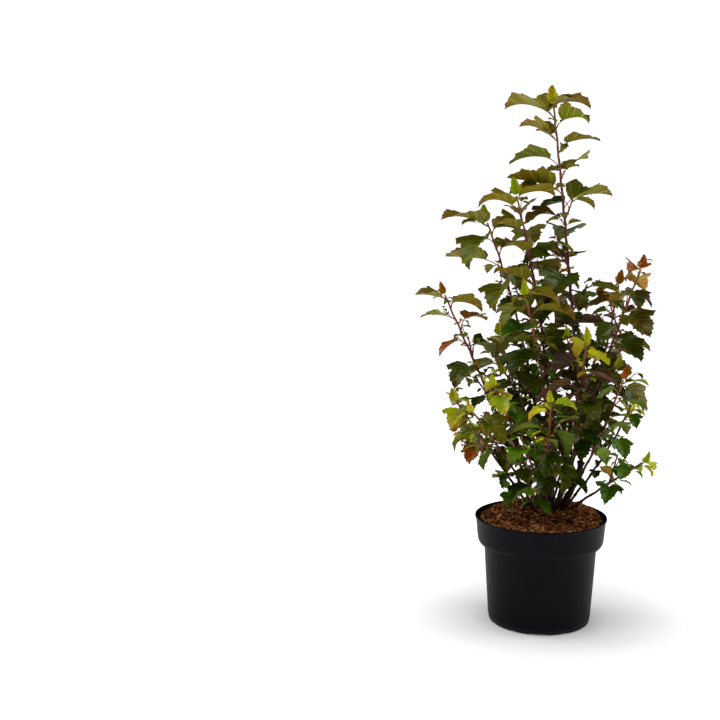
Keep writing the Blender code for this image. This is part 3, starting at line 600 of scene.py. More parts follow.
def cane_stem(cane, foot):
    """The curve of a cane. The leader's reach counts from its own foot, the others' from the clump."""
    out = level_way(cane.bearing)
    tip = (foot if cane.name == "leader" else clump_point(0.0)) + out * cane.reach
    tip[2] = cane.top
    return bowed_stem(foot, tip, out * cane.bow, cane.thick, TWIG_THICK)


def stump_stem():
    """The curve of the old wood, bowed along its level run."""
    run = STUMP_TOP - STUMP_FOOT
    return bowed_stem(STUMP_FOOT, STUMP_TOP, unit(run * (1, 1, 0)) * STUMP_BOW, STUMP_THICK, STUMP_THIN)


def limbs(paths, wide, sides, relief=0.0, seed=0):
    """Tubes along paths of points, each closed by a pole at both ends.

    A ring's point is P + w (cos a R + sin a Q), with R and Q square to the path, and w the path's radius
    times 1 + relief times a noise that is drawn out along the limb, as bark splits.
    """
    count, rings, _ = paths.shape
    ahead = unit(np.gradient(paths, axis=1))
    right = unit(np.cross(np.broadcast_to(DEPTH, ahead.shape), ahead))
    back = np.cross(ahead, right)
    angle = 2 * math.pi * np.arange(sides) / sides
    ridge = np.random.default_rng(seed).normal(0, 1, (count, rings, sides))
    ridge = (ridge + np.roll(ridge, 1, 1) + np.roll(ridge, 2, 1) + np.roll(ridge, 3, 1)) / 2
    swell = wide[:, :, None] * (1 + relief * ridge)
    ring = np.cos(angle)[:, None] * right[:, :, None] + np.sin(angle)[:, None] * back[:, :, None]
    rows = paths[:, :, None] + swell[..., None] * ring
    foot_pole = paths[:, 0] - ahead[:, 0] * wide[:, :1] * POLE_IN
    tip_pole = paths[:, -1] + ahead[:, -1] * wide[:, -1:] * POLE_OUT
    points = np.concatenate((rows.reshape(count, -1, 3), np.stack((foot_pole, tip_pole), 1)), axis=1)
    one = rings * sides + 2
    shift = one * np.arange(count)[:, None, None]
    quads = (ring_faces(rings, sides)[None] + shift).reshape(-1, 4)
    foot = (cap_faces(0, sides, one - 2, False)[None] + shift).reshape(-1, 3)
    tip = (cap_faces((rings - 1) * sides, sides, one - 1, True)[None] + shift).reshape(-1, 3)
    return points.reshape(-1, 3), [quads, foot, tip]


def per_point(rows, sides):
    """One value a ring, given to each of its points and to the two poles."""
    spread = np.repeat(rows, sides, axis=1)
    return np.concatenate((spread, rows[:, :1], rows[:, -1:]), axis=1).ravel()


def stem_paths(stems, rings, zigzag=0.0, flare=0.0):
    """Points along stems, turning aside by turns at each node, and their radii with the flare at the
    foot and a swelling 1 + NODE_SWELL exp(-(d / NODE_WIDTH)^2) round each node at the distance d."""
    t = np.linspace(0, 1, rings)
    paths = np.array([stem.start + stem.run * t[:, None] + stem.bend * t[:, None] ** 2 for stem in stems])
    step = np.linalg.norm(np.diff(paths, axis=1), axis=2)
    along = np.concatenate((np.zeros((len(stems), 1)), np.cumsum(step, axis=1)), axis=1)
    left = along[:, -1:] - along
    away = np.abs((left + LEAF_SPACING / 2) % LEAF_SPACING - LEAF_SPACING / 2)
    thick, thin = (np.array([[getattr(stem, key)] for stem in stems]) for key in ("thick", "thin"))
    flared = 1 + flare * np.clip(1 - along / FLARE_HEIGHT, 0, 1) ** FLARE_SHAPE
    wide = (thick + (thin - thick) * t) * flared
    wide = wide * (1 + NODE_SWELL * np.exp(-((away / NODE_WIDTH) ** 2)))
    ahead = unit(np.gradient(paths, axis=1))
    right = unit(np.cross(np.broadcast_to(DEPTH, ahead.shape), ahead))
    aside = zigzag * (2 / math.pi) * np.arcsin(np.sin(math.pi * left / LEAF_SPACING))
    fade = np.clip(along / ZIGZAG_ENDS[0], 0, 1) * np.clip(left / ZIGZAG_ENDS[1], 0, 1)
    return paths + (aside * fade)[..., None] * right, wide, along


feet = cane_feet()
cane_stems = [cane_stem(cane, feet[cane.name]) for cane in CANES]

# Ninebark's young bark: smooth and maroon with pale pores, greenish or pink where it is newest. With age
# it turns brown-black and splits lengthwise into papery strips.
bark, place = new_material("ninebark bark", {"Roughness": 0.5, "IOR": 1.45, "Specular IOR Level": 0.25})
ages = (
    (0.0, "#120c0a"), (0.07, "#261410"), (0.38, "#45201f"), (0.62, "#5f2c29"), (0.84, "#7e4230"),
    (1.0, "#8a7238"),
)
pinker = mix(bark, own_value(bark, "blush"), ramp(bark, own_value(bark, "youth"), *ages), "#b8684c")
split = add_node(bark, "Mapping", {"Scale": (900.0, 900.0, 90.0), "Vector": place}).outputs["Vector"]
strips = noise(bark, split, scale=1.0, detail=4.0)
streaked = mix(bark, 1.0, pinker, scaled(bark, strips, to=(0.55, 1.5)), "MULTIPLY")
pores = add_node(bark, "TexVoronoi", {"Scale": 380.0, "Vector": place}).outputs["Distance"]
dots = ramp(bark, pores, (0.10, "#a08a78"), (0.20, "#000000"))
feed(bark, mix(bark, 0.18, streaked, dots, "SCREEN"), "Base Color")
bumpy(bark, strips, strength=0.45, distance=0.0006)

paths, wide, along = stem_paths(cane_stems, CANE_RINGS, ZIGZAG, FLARE)
wide[0] /= 1 + FLARE * np.clip(1 - along[0] / FLARE_HEIGHT, 0, 1) ** FLARE_SHAPE
youth = np.clip(paths[..., 2] - GROUND, 0, None) / (paths[:, -1:, 2] - GROUND) * TIP_YOUTH
youth = FOOT_YOUTH + (1 - FOOT_YOUTH) * youth
pink = np.array([[PINK_BLUSH if cane.name == "pink" else 0.0] for cane in CANES])
pink = pink * np.clip(along / PINK_LENGTH - PINK_FROM, 0, 1)
points, faces = limbs(paths, wide, BARK_SIDES, relief=BARK_RELIEF, seed=3)
canes = new_piece(
    "canes", points, faces, [bark],
    {"youth": per_point(youth, BARK_SIDES), "blush": per_point(pink, BARK_SIDES)}, sharp=60,
)
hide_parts(*[name for name in limb_nodes if name != "old_stump"])

# The stump was cut back years ago. It is black-brown, furrowed, and has a callus where the leader grows.
stump_paths, stump_wide, along = stem_paths([stump_stem()], STUMP_RINGS, STUMP_ZIGZAG, FLARE)
stump_wide *= 1 + CALLUS * np.exp(-(((along[:, -1:] - along) / CALLUS_WIDTH) ** 2))
points, faces = limbs(stump_paths, stump_wide, STUMP_SIDES, relief=STUMP_RELIEF, seed=4)
stump = new_piece(
    "old_stump_wood", points, faces, [bark],
    {"youth": np.full(len(points), STUMP_YOUTH), "blush": np.zeros(len(points))}, sharp=60,
)
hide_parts("old_stump")

# ---------------------------------------------------------------------------------------------------
# The foliage: each cane's leafy end and each side shoot carries alternate leaves on reddish stalks, with
# small shoots in their axils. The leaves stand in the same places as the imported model's, by the same rule.

CANE_SIDES = 5
MASS_SIDES = 4
TWIG_SIDES = 3
CHORD_ERROR = 0.0009
TWIG_EVERY = 3.2
TWIG_LENGTH = 0.045
TWIG_SHORTER = 0.45
TWIG_FROM = 0.03
TWIG_FIRST = 0.4
TWIG_TURNS = 2.5
TWIG_ROUNDING = 0.7
TWIGGY_SHARE = 0.6
TWIG_CLIMB = 1.1
SIDE_CLIMB = 0.55
SHOOT_LIFT = 0.16
SHOOT_SLOW = 0.06
SHOOT_FREE = 0.15
DIVERGENCE = math.radians(172)
FIRST_LEAF = 0.35
TIP_CROWDING = 1.25
LOW_LEAF = 0.72
LOW_GROWTH = 1.1
END_LEAF = 0.42
END_RISE = 0.8
END_STALK = 0.003
TWIG_LEAF = 0.62
TWIG_YOUNG = 0.8
TWIG_BARE = 0.35
STEM_BARE = 0.04
TWIG_TURN = 1.0
VARIES = {"stalk": 0.10, "sweep": 0.26, "pitch": 0.40, "roll": 0.30, "droop": 0.5, "length": 0.20}
STALK_CLIMB = 0.75
STALK_OUT = 0.70
STALK_SHARE = 0.30
STALK_LEAST = 0.004
YOUNG_STALK = 0.35
STALK_GROWTH = 2.2
STALK_SUNK = 0.4
BLADE_AHEAD = 0.15
HANGING = -16
RISING = 12
HANGING_HEIGHT = 0.20
RISING_HEIGHT = 0.74
ROOM = 0.085
SPINE_POINTS = 15
LEAF_FLOOR = 0.163
CLEARANCE = 0.0010
GROWN = 1.04
STALK_TRIED = 0.45
TIP_TRIED = 0.8
TRIES = ((0.0, 1.0), (0.4, 1.0), (-0.4, 1.0), (0.8, 0.85), (-0.8, 0.85), (0.0, 0.7), (1.2, 0.7))
LOBED_HALF = ((0.02, 0.28), (0.38, 0.47), (0.54, 0.27))
PLAIN_HALF = ((0.03, 0.27), (0.42, 0.43))
LOBED_FROM = 0.044
BLADE_MIDDLE = 0.45
FOLD = 0.42
DROOP = 0.20
LEAF_THICKNESS = 0.020
STALK_WIDTH = 0.0007
STALK_KEEL = 1.5
SIDE_LENGTH = 0.080
SIDE_SHORTER = 0.12
SIDE_LEAF = 0.044
SIDE_YOUNG = 0.7
SIDE_FROM = 0.42
SIDE_TO = 0.90
SIDE_TURN = 2.6
SIDE_SEEDS = 10
SIDE_SEED_TURN = 25
SIDE_ATTEMPTS = 8
SEAT_START = 0.005
SEAT_STEPS = 5
ATTEMPT_TURN = 0.7
FOOT_SHOOTS = (
    ("foot_front", -112, 0.040, 0.038, 0.042, 49),
    ("foot_left", -170, 0.034, 0.034, 0.034, 42),
)
FOOT_OUT = 0.6
FOOT_UP = 0.8
FOOT_BOW = 0.1
FOOT_THICKER = 1.2
FOOT_YOUNG = 0.9

Mass = namedtuple("Mass", "name stem sides twigs leaf young turn seed")
Leaf = namedtuple("Leaf", "root joint axis side normal length droop")
Grown = namedtuple("Grown", "leaf mass stem t share")


def end_stem(cane, stem):
    """The leafy part of a cane: the same curve from its bare share on."""
    rest = 1 - cane.bare
    run = (stem.run + 2 * stem.bend * cane.bare) * rest
    return Stem(at(stem, cane.bare), run, stem.bend * rest**2, radius(stem, cane.bare), stem.thin)


def shoot_stem(stem, t, turn, length, climb):
    """A shoot that leaves the middle of a stem and bends up."""
    run = unit(heading(stem, t) * climb + outwards(heading(stem, t), turn)) * length
    return Stem(at(stem, t), run, UP * length * SHOOT_LIFT - run * SHOOT_SLOW, TWIG_THICK, TWIG_THIN)


def foot_stem(bearing, distance, length):
    """A short shoot that rises from the soil beside the clump."""
    out = level_way(bearing)
    foot = clump_point(GROUND + GAP) + out * distance
    run = (out * FOOT_OUT + UP * FOOT_UP) * length
    return Stem(foot, run, out * length * FOOT_BOW, TWIG_THICK * FOOT_THICKER, TWIG_THIN * FOOT_THICKER)


def tube(stem, first, last, sides, flare=0.0, level_foot=False, level_top=False):
    """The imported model's plain tube along a stretch of a stem, which keeps its room in the crown."""
    bulge = np.linalg.norm(stem.bend) * (last - first) ** 2 / 4
    stretches = max(1, math.ceil(math.sqrt(bulge / CHORD_ERROR)))
    steps = list(np.linspace(first, last, stretches + 1))
    if flare:
        steps.insert(1, first + FLARE_HEIGHT / stem_length(stem))
    points = []
    for t in steps:
        level = (level_foot and t == first) or (level_top and t == last)
        ahead = UP if level else heading(stem, t)
        wide = radius(stem, t) * (1 + (flare if t == first else 0.0))
        points += [at(stem, t) + wide * outwards(ahead, 2 * math.pi * k / sides) for k in range(sides)]
    faces = [tuple(reversed(range(sides))), tuple(range(len(points) - sides, len(points)))]
    faces += [tuple(face) for face in ring_faces(len(steps), sides).tolist()]
    return np.array(points), faces


def cane_shape(cane, stem):
    """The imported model's bare cane, which ends the gap short of its leafy part."""
    bare_end = cane.bare - GAP / stem_length(stem)
    return tube(stem, 0.0, bare_end, CANE_SIDES, 0.0 if cane.name == "leader" else FLARE, level_foot=True)


def seated(shoot, out, surface):
    """A shoot moved out of its limb, or back to it, until its foot is the gap away from the surface."""
    shoot = shoot._replace(start=shoot.start + out * SEAT_START)
    for _ in range(SEAT_STEPS):
        foot = tube(shoot, 0.0, 1.0, TWIG_SIDES)[0][:TWIG_SIDES]
        rim = [*foot, *(foot + np.roll(foot, 1, axis=0)) / 2]
        near = min(surface.find_nearest(point.tolist())[3] for point in rim)
        shoot = shoot._replace(start=shoot.start - out * (near - GAP))
    return shoot


def blade_tilt(height):
    """Slope of a blade's midrib in radians: low leaves hang and high ones rise a little."""
    share = min(1.0, max(0.0, (height - HANGING_HEIGHT) / (RISING_HEIGHT - HANGING_HEIGHT)))
    return math.radians(HANGING + (RISING - HANGING) * share)


def leaf_on(stem, t, turn, length, draw):
    """A leaf's place and pose: a stalk that climbs from the stem, and a blade with its tip outwards."""
    here, ahead = at(stem, t), heading(stem, t)
    out = outwards(ahead, turn)
    stalk = unit(ahead * STALK_CLIMB + out * STALK_OUT)
    grown = min(1.0, YOUNG_STALK + STALK_GROWTH * (1 - t))
    joint = here + stalk * (length * grown * (STALK_SHARE + VARIES["stalk"] * draw[0]) + STALK_LEAST)
    level = out + ahead * BLADE_AHEAD
    sweep = math.atan2(level[1], level[0]) + VARIES["sweep"] * draw[1]
    pitch = blade_tilt(joint[2]) + VARIES["pitch"] * draw[2]
    axis = math.cos(pitch) * level_way(math.degrees(sweep)) + math.sin(pitch) * UP
    side = unit(np.cross(UP, axis))
    roll = VARIES["roll"] * draw[3]
    side = math.cos(roll) * side + math.sin(roll) * np.cross(axis, side)
    root = here - stalk * radius(stem, t) * STALK_SUNK
    droop = DROOP * (1 + VARIES["droop"] * draw[4])
    return Leaf(root, joint, axis, side, np.cross(axis, side), length, droop)


def end_leaf(stem, length):
    """The youngest leaf, that stands up from a stem's very tip."""
    ahead, tip = heading(stem, 1.0), at(stem, 1.0)
    axis = unit(ahead + UP * END_RISE)
    side = unit(np.cross(axis, DEPTH))
    stalk = ahead * END_STALK
    return Leaf(tip - stalk, tip + stalk, axis, side, np.cross(axis, side), length, 0.0)


def plain_leaf(leaf, room=0.0, stalk_from=0.0):
    """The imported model's leaf, a lens on a three-sided stalk, which keeps the leaf's room in the crown."""
    half = LOBED_HALF if leaf.length >= LOBED_FROM else PLAIN_HALF
    outline = [(x, -y) for x, y in half] + [(1.0, 0.0)] + [(x, y) for x, y in reversed(half)]

    def blade_point(x, y, lift=0.0):
        """A point at shares of the blade's length, L (FOLD |y| - droop x^2) high."""
        height = leaf.length * (FOLD * abs(y) - leaf.droop * x * x) + lift
        return leaf.joint + leaf.length * (x * leaf.axis + y * leaf.side) + height * leaf.normal

    root = leaf.root + (leaf.joint - leaf.root) * stalk_from
    along = unit(leaf.joint - leaf.root)
    side = unit(leaf.side - along * along.dot(leaf.side))
    above = np.cross(along, side)
    wide = STALK_WIDTH + room
    points = [root + side * wide, root - side * wide, root - above * wide * STALK_KEEL]
    points += [leaf.joint + leaf.side * wide, leaf.joint - leaf.side * wide]
    points.append(leaf.joint - unit(above + leaf.normal) * wide * STALK_KEEL)
    points += [blade_point(x, y) for x, y in outline]
    lift = LEAF_THICKNESS * leaf.length / 2 + room
    points += [blade_point(BLADE_MIDDLE, 0.0, lift), blade_point(BLADE_MIDDLE, 0.0, -lift)]
    a0, b0, c0, a, b, c = range(6)
    top, bottom = len(points) - 2, len(points) - 1
    loop = [b, *range(6, top), a]
    faces = [(a0, c0, b0), (b, a, a0, b0), (a, c, c0, a0), (c, b, b0, c0)]
    faces += [(top, a, b), (bottom, c, a), (bottom, b, c)]
    for p, q in zip(loop, loop[1:]):
        faces += [(top, p, q), (bottom, q, p)]
    return np.array(points), faces


class Crowd:
    """What already stands in the crown, for telling whether a new leaf would touch it."""

    def __init__(self):
        self.items = []

    def add(self, points, faces):
        """Takes in one more shape."""
        tree = BVHTree.FromPolygons(points.tolist(), faces)
        self.items.append((points.min(axis=0), points.max(axis=0), tree))

    def touches(self, points, faces):
        """Whether a shape's surface meets any that is in the crowd."""
        low, high = points.min(axis=0), points.max(axis=0)
        own = BVHTree.FromPolygons(points.tolist(), faces)
        near = [tree for least, most, tree in self.items if (least < high).all() and (most > low).all()]
        return any(own.overlap(tree) for tree in near)


def fits(leaf, stem, crowd, stalk_from=STALK_TRIED):
    """Whether a leaf keeps to its mass's room and clears everything that stands already."""
    points, faces = plain_leaf(leaf._replace(length=leaf.length * GROWN), CLEARANCE, stalk_from)
    spine = np.array([at(stem, t) for t in np.linspace(0, 1, SPINE_POINTS)])
    away = np.linalg.norm(points[:, None] - spine[None], axis=2).min(axis=1)
    return away.max() <= ROOM and points[:, 2].min() >= LEAF_FLOOR and not crowd.touches(points, faces)


def first_fit(stem, t, options, draw, spine, crowd, stalk_tried=STALK_TRIED, stalk_from=SHOOT_FREE):
    """The first leaf of the options, each a turn and a length, that has room. The crowd takes it in."""
    for turn, length in options:
        leaf = leaf_on(stem, t, turn, length, draw)
        if fits(leaf, spine, crowd, stalk_tried):
            crowd.add(*plain_leaf(leaf, stalk_from=stalk_from))
            return leaf
    return None


def stem_leaves(mass, stem, first, length, young, turn, rng, crowd):
    """Leaves along a stem from the share first to its tip, each a fixed turn on from the one before.

    A leaf that doesn't fit in its place is turned a little, then made smaller, then skipped.
    """
    grown_leaves = []
    count = max(2, round(stem_length(stem, first) / LEAF_SPACING))
    for i in range(count):
        u = 1 - (1 - (i + FIRST_LEAF) / count) ** TIP_CROWDING
        draw = rng.uniform(-1, 1, 6)
        grown = length * (1 - (1 - young) * u**3) * min(1.0, LOW_LEAF + LOW_GROWTH * u)
        grown *= 1 + VARIES["length"] * draw[5]
        facing, t = turn - (count - 1 - i) * DIVERGENCE, first + (1 - first) * u
        options = [(facing + aside, grown * share) for aside, share in TRIES]
        leaf = first_fit(stem, t, options, draw, stem, crowd)
        if leaf:
            grown_leaves.append(Grown(leaf, mass, stem, t, u))
    return grown_leaves


def cane_mass(cane, stem):
    """The mass on a cane's leafy end, with the twigs of its lower part."""
    end = end_stem(cane, stem)
    twigs = []
    count = int(stem_length(end) * TWIGGY_SHARE / (LEAF_SPACING * TWIG_EVERY) + TWIG_ROUNDING)
    for i in range(count):
        t = TWIG_FROM + TWIGGY_SHARE * (i + TWIG_FIRST) / count
        turn = math.radians(cane.turn) + (i * TWIG_EVERY + TWIG_TURNS) * DIVERGENCE
        length = TWIG_LENGTH * (1 - TWIG_SHORTER * t)
        twigs.append(shoot_stem(end, t, turn, length, TWIG_CLIMB))
    name = cane.name + "_foliage"
    return Mass(name, end, MASS_SIDES, twigs, cane.leaf, cane.young, cane.turn, cane.seed)


def side_masses(cane, stem, crowd):
    """The side shoots on the bare part of a cane, each turned on until it clears every limb."""
    masses = []
    points, faces = cane_shape(cane, stem)
    surface = BVHTree.FromPolygons(points.tolist(), faces)
    for k in range(cane.sides):
        share = SIDE_FROM + (SIDE_TO - SIDE_FROM) * (k + 0.5) / cane.sides
        length = SIDE_LENGTH * (1 - SIDE_SHORTER * k)
        for attempt in range(SIDE_ATTEMPTS):
            turn = math.radians(cane.turn) + k * SIDE_TURN + attempt * ATTEMPT_TURN
            out = outwards(heading(stem, share * cane.bare), turn)
            shoot = seated(shoot_stem(stem, share * cane.bare, turn, length, SIDE_CLIMB), out, surface)
            shape = tube(shoot, 0.0, 1.0, TWIG_SIDES)
            if not crowd.touches(*shape):
                crowd.add(*shape)
                name, seed = f"{cane.name}_side_{k + 1}", cane.seed * SIDE_SEEDS + k
                turn = seed * SIDE_SEED_TURN
                masses.append(Mass(name, shoot, TWIG_SIDES, [], SIDE_LEAF, SIDE_YOUNG, turn, seed))
                break
    return masses


def foot_masses():
    """The short shoots on the soil."""
    masses = []
    for name, bearing, distance, length, leaf, seed in FOOT_SHOOTS:
        shoot = foot_stem(bearing, distance, length)
        masses.append(Mass(name, shoot, TWIG_SIDES, [], leaf, FOOT_YOUNG, bearing, seed))
    return masses


def mass_leaves(mass, crowd):
    """The leaves of a mass and the twigs that carry some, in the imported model's order."""
    rng = np.random.default_rng(mass.seed)
    turn = math.radians(mass.turn)
    tip = end_leaf(mass.stem, mass.leaf * END_LEAF)
    leaves, twigs = [], []
    if fits(tip, mass.stem, crowd, TIP_TRIED):
        crowd.add(*plain_leaf(tip, stalk_from=SHOOT_FREE))
        leaves.append(Grown(tip, mass, mass.stem, 1.0, 1.0))
    leaves += stem_leaves(mass, mass.stem, STEM_BARE, mass.leaf, mass.young, turn, rng, crowd)
    for twig in mass.twigs:
        length = mass.leaf * TWIG_LEAF
        grown = stem_leaves(mass, twig, TWIG_BARE, length, TWIG_YOUNG, turn + TWIG_TURN, rng, crowd)
        if grown:
            leaves += grown
            twigs.append(twig)
    return leaves, twigs


crowd = Crowd()
crowd.add(*tube(stump_stem(), 0.0, 1.0, CANE_SIDES, FLARE, level_foot=True, level_top=True))
for cane, stem in zip(CANES, cane_stems):
    crowd.add(*cane_shape(cane, stem))
masses = [cane_mass(cane, stem) for cane, stem in zip(CANES, cane_stems)]
for mass in masses:
    crowd.add(*tube(mass.stem, 0.0, 1.0, mass.sides))
    for twig in mass.twigs:
        crowd.add(*tube(twig, SHOOT_FREE, 1.0, TWIG_SIDES))
for cane, stem in zip(CANES, cane_stems):
    masses += side_masses(cane, stem, crowd)
masses += foot_masses()
leaves, twigs, leafy_stems = [], [], []
for mass in masses:
    grown, carried = mass_leaves(mass, crowd)
    leaves += grown
    twigs += carried
    leafy_stems += [(mass, stem) for stem in (mass.stem, *carried)]

# Small shoots in the leaf axils, each with two or three young leaves where the crown has room for them.

SHOOT_SHARE = 0.75
SHOOT_LEAST = 0.007
SHOOT_MOST = 0.022
SHOOT_CLIMB = 1.3
SHOOT_THICK = 0.0008
SHOOT_THIN = 0.0006
SHOOT_LEAF = 0.38  # a small shoot's leaves against the leaf that it stands over
SHOOT_LEAVES = ((0.55, math.pi / 2), (0.95, -math.pi / 2), (1.0, 0.0))  # their shares of the way and turns
SHOOT_SPREAD = 2  # radians by which they turn as one
SHOOT_TRIES = ((1.0, 0.0), (0.8, 0.5), (0.65, -0.5), (0.5, 1.0))  # shares of the length, more turn
NEXT_SMALLER = 0.15
NEXT_YOUNGER = 0.25
SMALLEST_LEAF = 0.013
CROWDED = {"stalk_tried": 0.6, "stalk_from": 0.4}  # of an added leaf's stalk, only the end needs room

shoot_rng = np.random.default_rng(2026)
small_leaves, small_shoots = [], []
for grown in leaves:
    chance, size, _, spread = shoot_rng.uniform(0, 1, 4)
    draws = shoot_rng.uniform(-1, 1, (3, 6))
    if chance > SHOOT_SHARE or grown.t >= 1.0:
        continue
    ahead = heading(grown.stem, grown.t)
    stalk = unit(grown.leaf.joint - grown.leaf.root)
    out = unit(stalk - ahead * ahead.dot(stalk))
    length = SHOOT_LEAST + (SHOOT_MOST - SHOOT_LEAST) * size
    run = unit(ahead * SHOOT_CLIMB + out) * length
    shoot = Stem(at(grown.stem, grown.t), run, UP * length * SHOOT_LIFT, SHOOT_THICK, SHOOT_THIN)
    blade = max(SMALLEST_LEAF, grown.leaf.length * SHOOT_LEAF)
    found = []
    for k, (t, turn) in enumerate(SHOOT_LEAVES):
        options = [
            (turn + SHOOT_SPREAD * spread + more, blade * share * (1 - NEXT_SMALLER * k))
            for share, more in SHOOT_TRIES
        ]
        leaf = first_fit(shoot, t, options, draws[k], grown.stem, crowd, **CROWDED)
        if leaf:
            found.append(Grown(leaf, grown.mass, shoot, t, min(1.0, grown.share + NEXT_YOUNGER)))
    if found:
        small_shoots.append(shoot)
        small_leaves += found

# Spur leaves: between the nodes' own leaves stand smaller ones on short spurs, wherever there is room.
SPOTS_FROM = 0.03  # share of a stem that is left free at its foot
SPUR_STEP = 0.015
SPUR_TOP = 0.43  # the tall canes' upper parts have none
SPUR_LEAF = (0.28, 0.50)  # their blades, against their spray's longest
SPUR_TRIES = ((1.0, 0.0), (1.0, 1.3), (0.75, 2.6), (0.6, 4.0))
OPEN_SPRAYS = ("left_tall", "right_bare")  # these have sky between their leaves, and no spurs


def spots(stem, last, step, sizes, top, rng):
    """Places along a stem to the share last or the height top, each with a turn, a size and six draws."""
    for t in np.arange(SPOTS_FROM, last, step / stem_length(stem)):
        if at(stem, t)[2] > top:
            return
        yield t, rng.uniform(0, 2 * math.pi), rng.uniform(*sizes), rng.uniform(-1, 1, 6)


spur_rng = np.random.default_rng(424)
for mass, stem in leafy_stems:
    if mass.name.startswith(OPEN_SPRAYS):
        continue
    for t, turn, size, draw in spots(stem, 1.0, SPUR_STEP, SPUR_LEAF, SPUR_TOP, spur_rng):
        options = [(turn + more, max(SMALLEST_LEAF, mass.leaf * size * share)) for share, more in SPUR_TRIES]
        leaf = first_fit(stem, t, options, draw, mass.stem, crowd, **CROWDED)
        if leaf:
            small_leaves.append(Grown(leaf, mass, stem, t, t))

# A few full-grown leaves on the older wood below the leafy ends, on the canes that have kept theirs.
KEPT_LEAVES = (
    "front", "front_left", "left_front", "front_right", "pink", "left_fan", "left_back", "back", "back_left",
)
KEPT_STEP = 0.024
KEPT_FROM = 0.190  # height of the lowest
KEPT_LEAF = (0.80, 1.20)  # their blades, against their spray's longest
KEPT_TRIES = ((1.0, 0.0), (1.0, 1.3), (0.9, 2.6), (0.8, 4.0), (0.7, 5.2))
kept_rng = np.random.default_rng(1906)
for cane, stem, mass in zip(CANES, cane_stems, masses):
    for t, turn, size, draw in spots(stem, cane.bare, KEPT_STEP, KEPT_LEAF, math.inf, kept_rng):
        if cane.name not in KEPT_LEAVES or at(stem, t)[2] < KEPT_FROM:
            continue
        options = [(turn + more, cane.leaf * size * share) for share, more in KEPT_TRIES]
        leaf = first_fit(stem, t, options, draw, stem, crowd, **CROWDED)
        if leaf:
            small_leaves.append(Grown(leaf, mass, stem, t, 0.0))

# Twigs, side shoots and small shoots are as the canes' newest bark. The side shoots are the woodier ones.
TWIG_BLUSH = 0.12
NEW_BARK = 0.8  # share of the way to the newest bark that a thin stem's tip has come
side_stems = [mass.stem for mass in masses if not mass.name.endswith("_foliage")]
thin_points, thin_faces, thin_youth = [], [], []
offset = 0
for stems, rings, sides, newest in (  # rings and sides of the tubes, and how new the bark at their feet is
    (side_stems, 40, 8, 0.30),
    (twigs, 24, 8, 0.40),
    (small_shoots, 8, 6, 0.55),
):
    paths, wide, _ = stem_paths(stems, rings)
    points, faces = limbs(paths, wide, sides)
    youth = np.broadcast_to(newest + (1 - newest) * NEW_BARK * np.linspace(0, 1, rings), wide.shape)
    thin_points.append(points)
    thin_faces += [group + offset for group in faces]
    thin_youth.append(per_point(youth, sides))
    offset += len(points)
twig_points = np.concatenate(thin_points)
twig_wood = new_piece(
    "twigs", twig_points, thin_faces, [bark],
    {"youth": np.concatenate(thin_youth), "blush": np.full(len(twig_points), TWIG_BLUSH)}, sharp=60,
)
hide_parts(*mass_nodes)

# Leaf stalks: slim and grooved, orange-red at the stem and greener at the blade. Each bends on into the
# blade's midrib.
STALK_RINGS = 7
STALK_SIDES = 6
STALK_RADIUS = 0.00062
STALK_FULL = 0.045  # length of a blade whose stalk has that radius
STALK_SIZES = (0.5, 1.15)  # least and most of it
STALK_ON = 0.03  # share of the blade that the stalk runs on for
STALK_STRAIGHT = 0.35  # weight of the stalk's middle in the point that it bends towards
STALK_LEVEL = 0.45  # the other point is this share of the stalk's length behind the joint
STALK_FOOT = 0.6  # swelling of the foot, which is gone after one part of STALK_PARTS
STALK_PARTS = 5
STALK_TINTS = 0.55  # weight of the place along a stalk, and of chance, in its colour
all_leaves = leaves + small_leaves
root, joint, axis, side, normal, size, droop = map(np.array, zip(*[grown.leaf for grown in all_leaves]))
reach = np.linalg.norm(joint - root, axis=1, keepdims=True)
behind = joint - axis * reach * STALK_LEVEL
control = (root + joint) / 2 * STALK_STRAIGHT + behind * (1 - STALK_STRAIGHT)
s = np.linspace(0, 1, STALK_RINGS)[None, :, None]
stalk_end = joint + axis * size[:, None] * STALK_ON
stalk_paths = bent(root[:, None], control[:, None], stalk_end[:, None], s)
thick = STALK_RADIUS * np.clip(size / STALK_FULL, *STALK_SIZES)[:, None]
stalk_wide = thick * (1 + STALK_FOOT * np.clip(1 - s[..., 0] * STALK_PARTS, 0, 1))
points, faces = limbs(stalk_paths, stalk_wide, STALK_SIDES)
tint = np.random.default_rng(5).uniform(0, 1, (len(all_leaves), 1))

# The stalk's skin: red towards the stem and yellow-green towards the blade, each stalk a little different,
# with a soft gloss.
stalk_skin, place = new_material("leaf stalk skin", {"Roughness": 0.42, "IOR": 1.45})
reds = ((0.0, "#6e2020"), (0.35, "#9a3a24"), (0.7, "#a8602c"), (1.0, "#8f8a30"))
tone = ramp(stalk_skin, own_value(stalk_skin, "along"), *reds)
flecks = scaled(stalk_skin, noise(stalk_skin, place, scale=600.0), to=(0.7, 1.3))
feed(stalk_skin, mix(stalk_skin, 1.0, tone, flecks, "MULTIPLY"), "Base Color")
along_rows = np.clip(s[..., 0] * STALK_TINTS + tint * STALK_TINTS, 0, 1)
stalks = new_piece(
    "leaf_stalks", points, faces, [stalk_skin],
    {"along": per_point(np.broadcast_to(along_rows, stalk_wide.shape), STALK_SIDES)}, sharp=60,
)
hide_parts(*mass_nodes)

# Leaf blades. A leaf is thin and leathery, with three to five lobes and a doubly toothed edge. Its side
# veins are sunk on the top, so the blade is pleated between them, folded up from the midrib and arched.

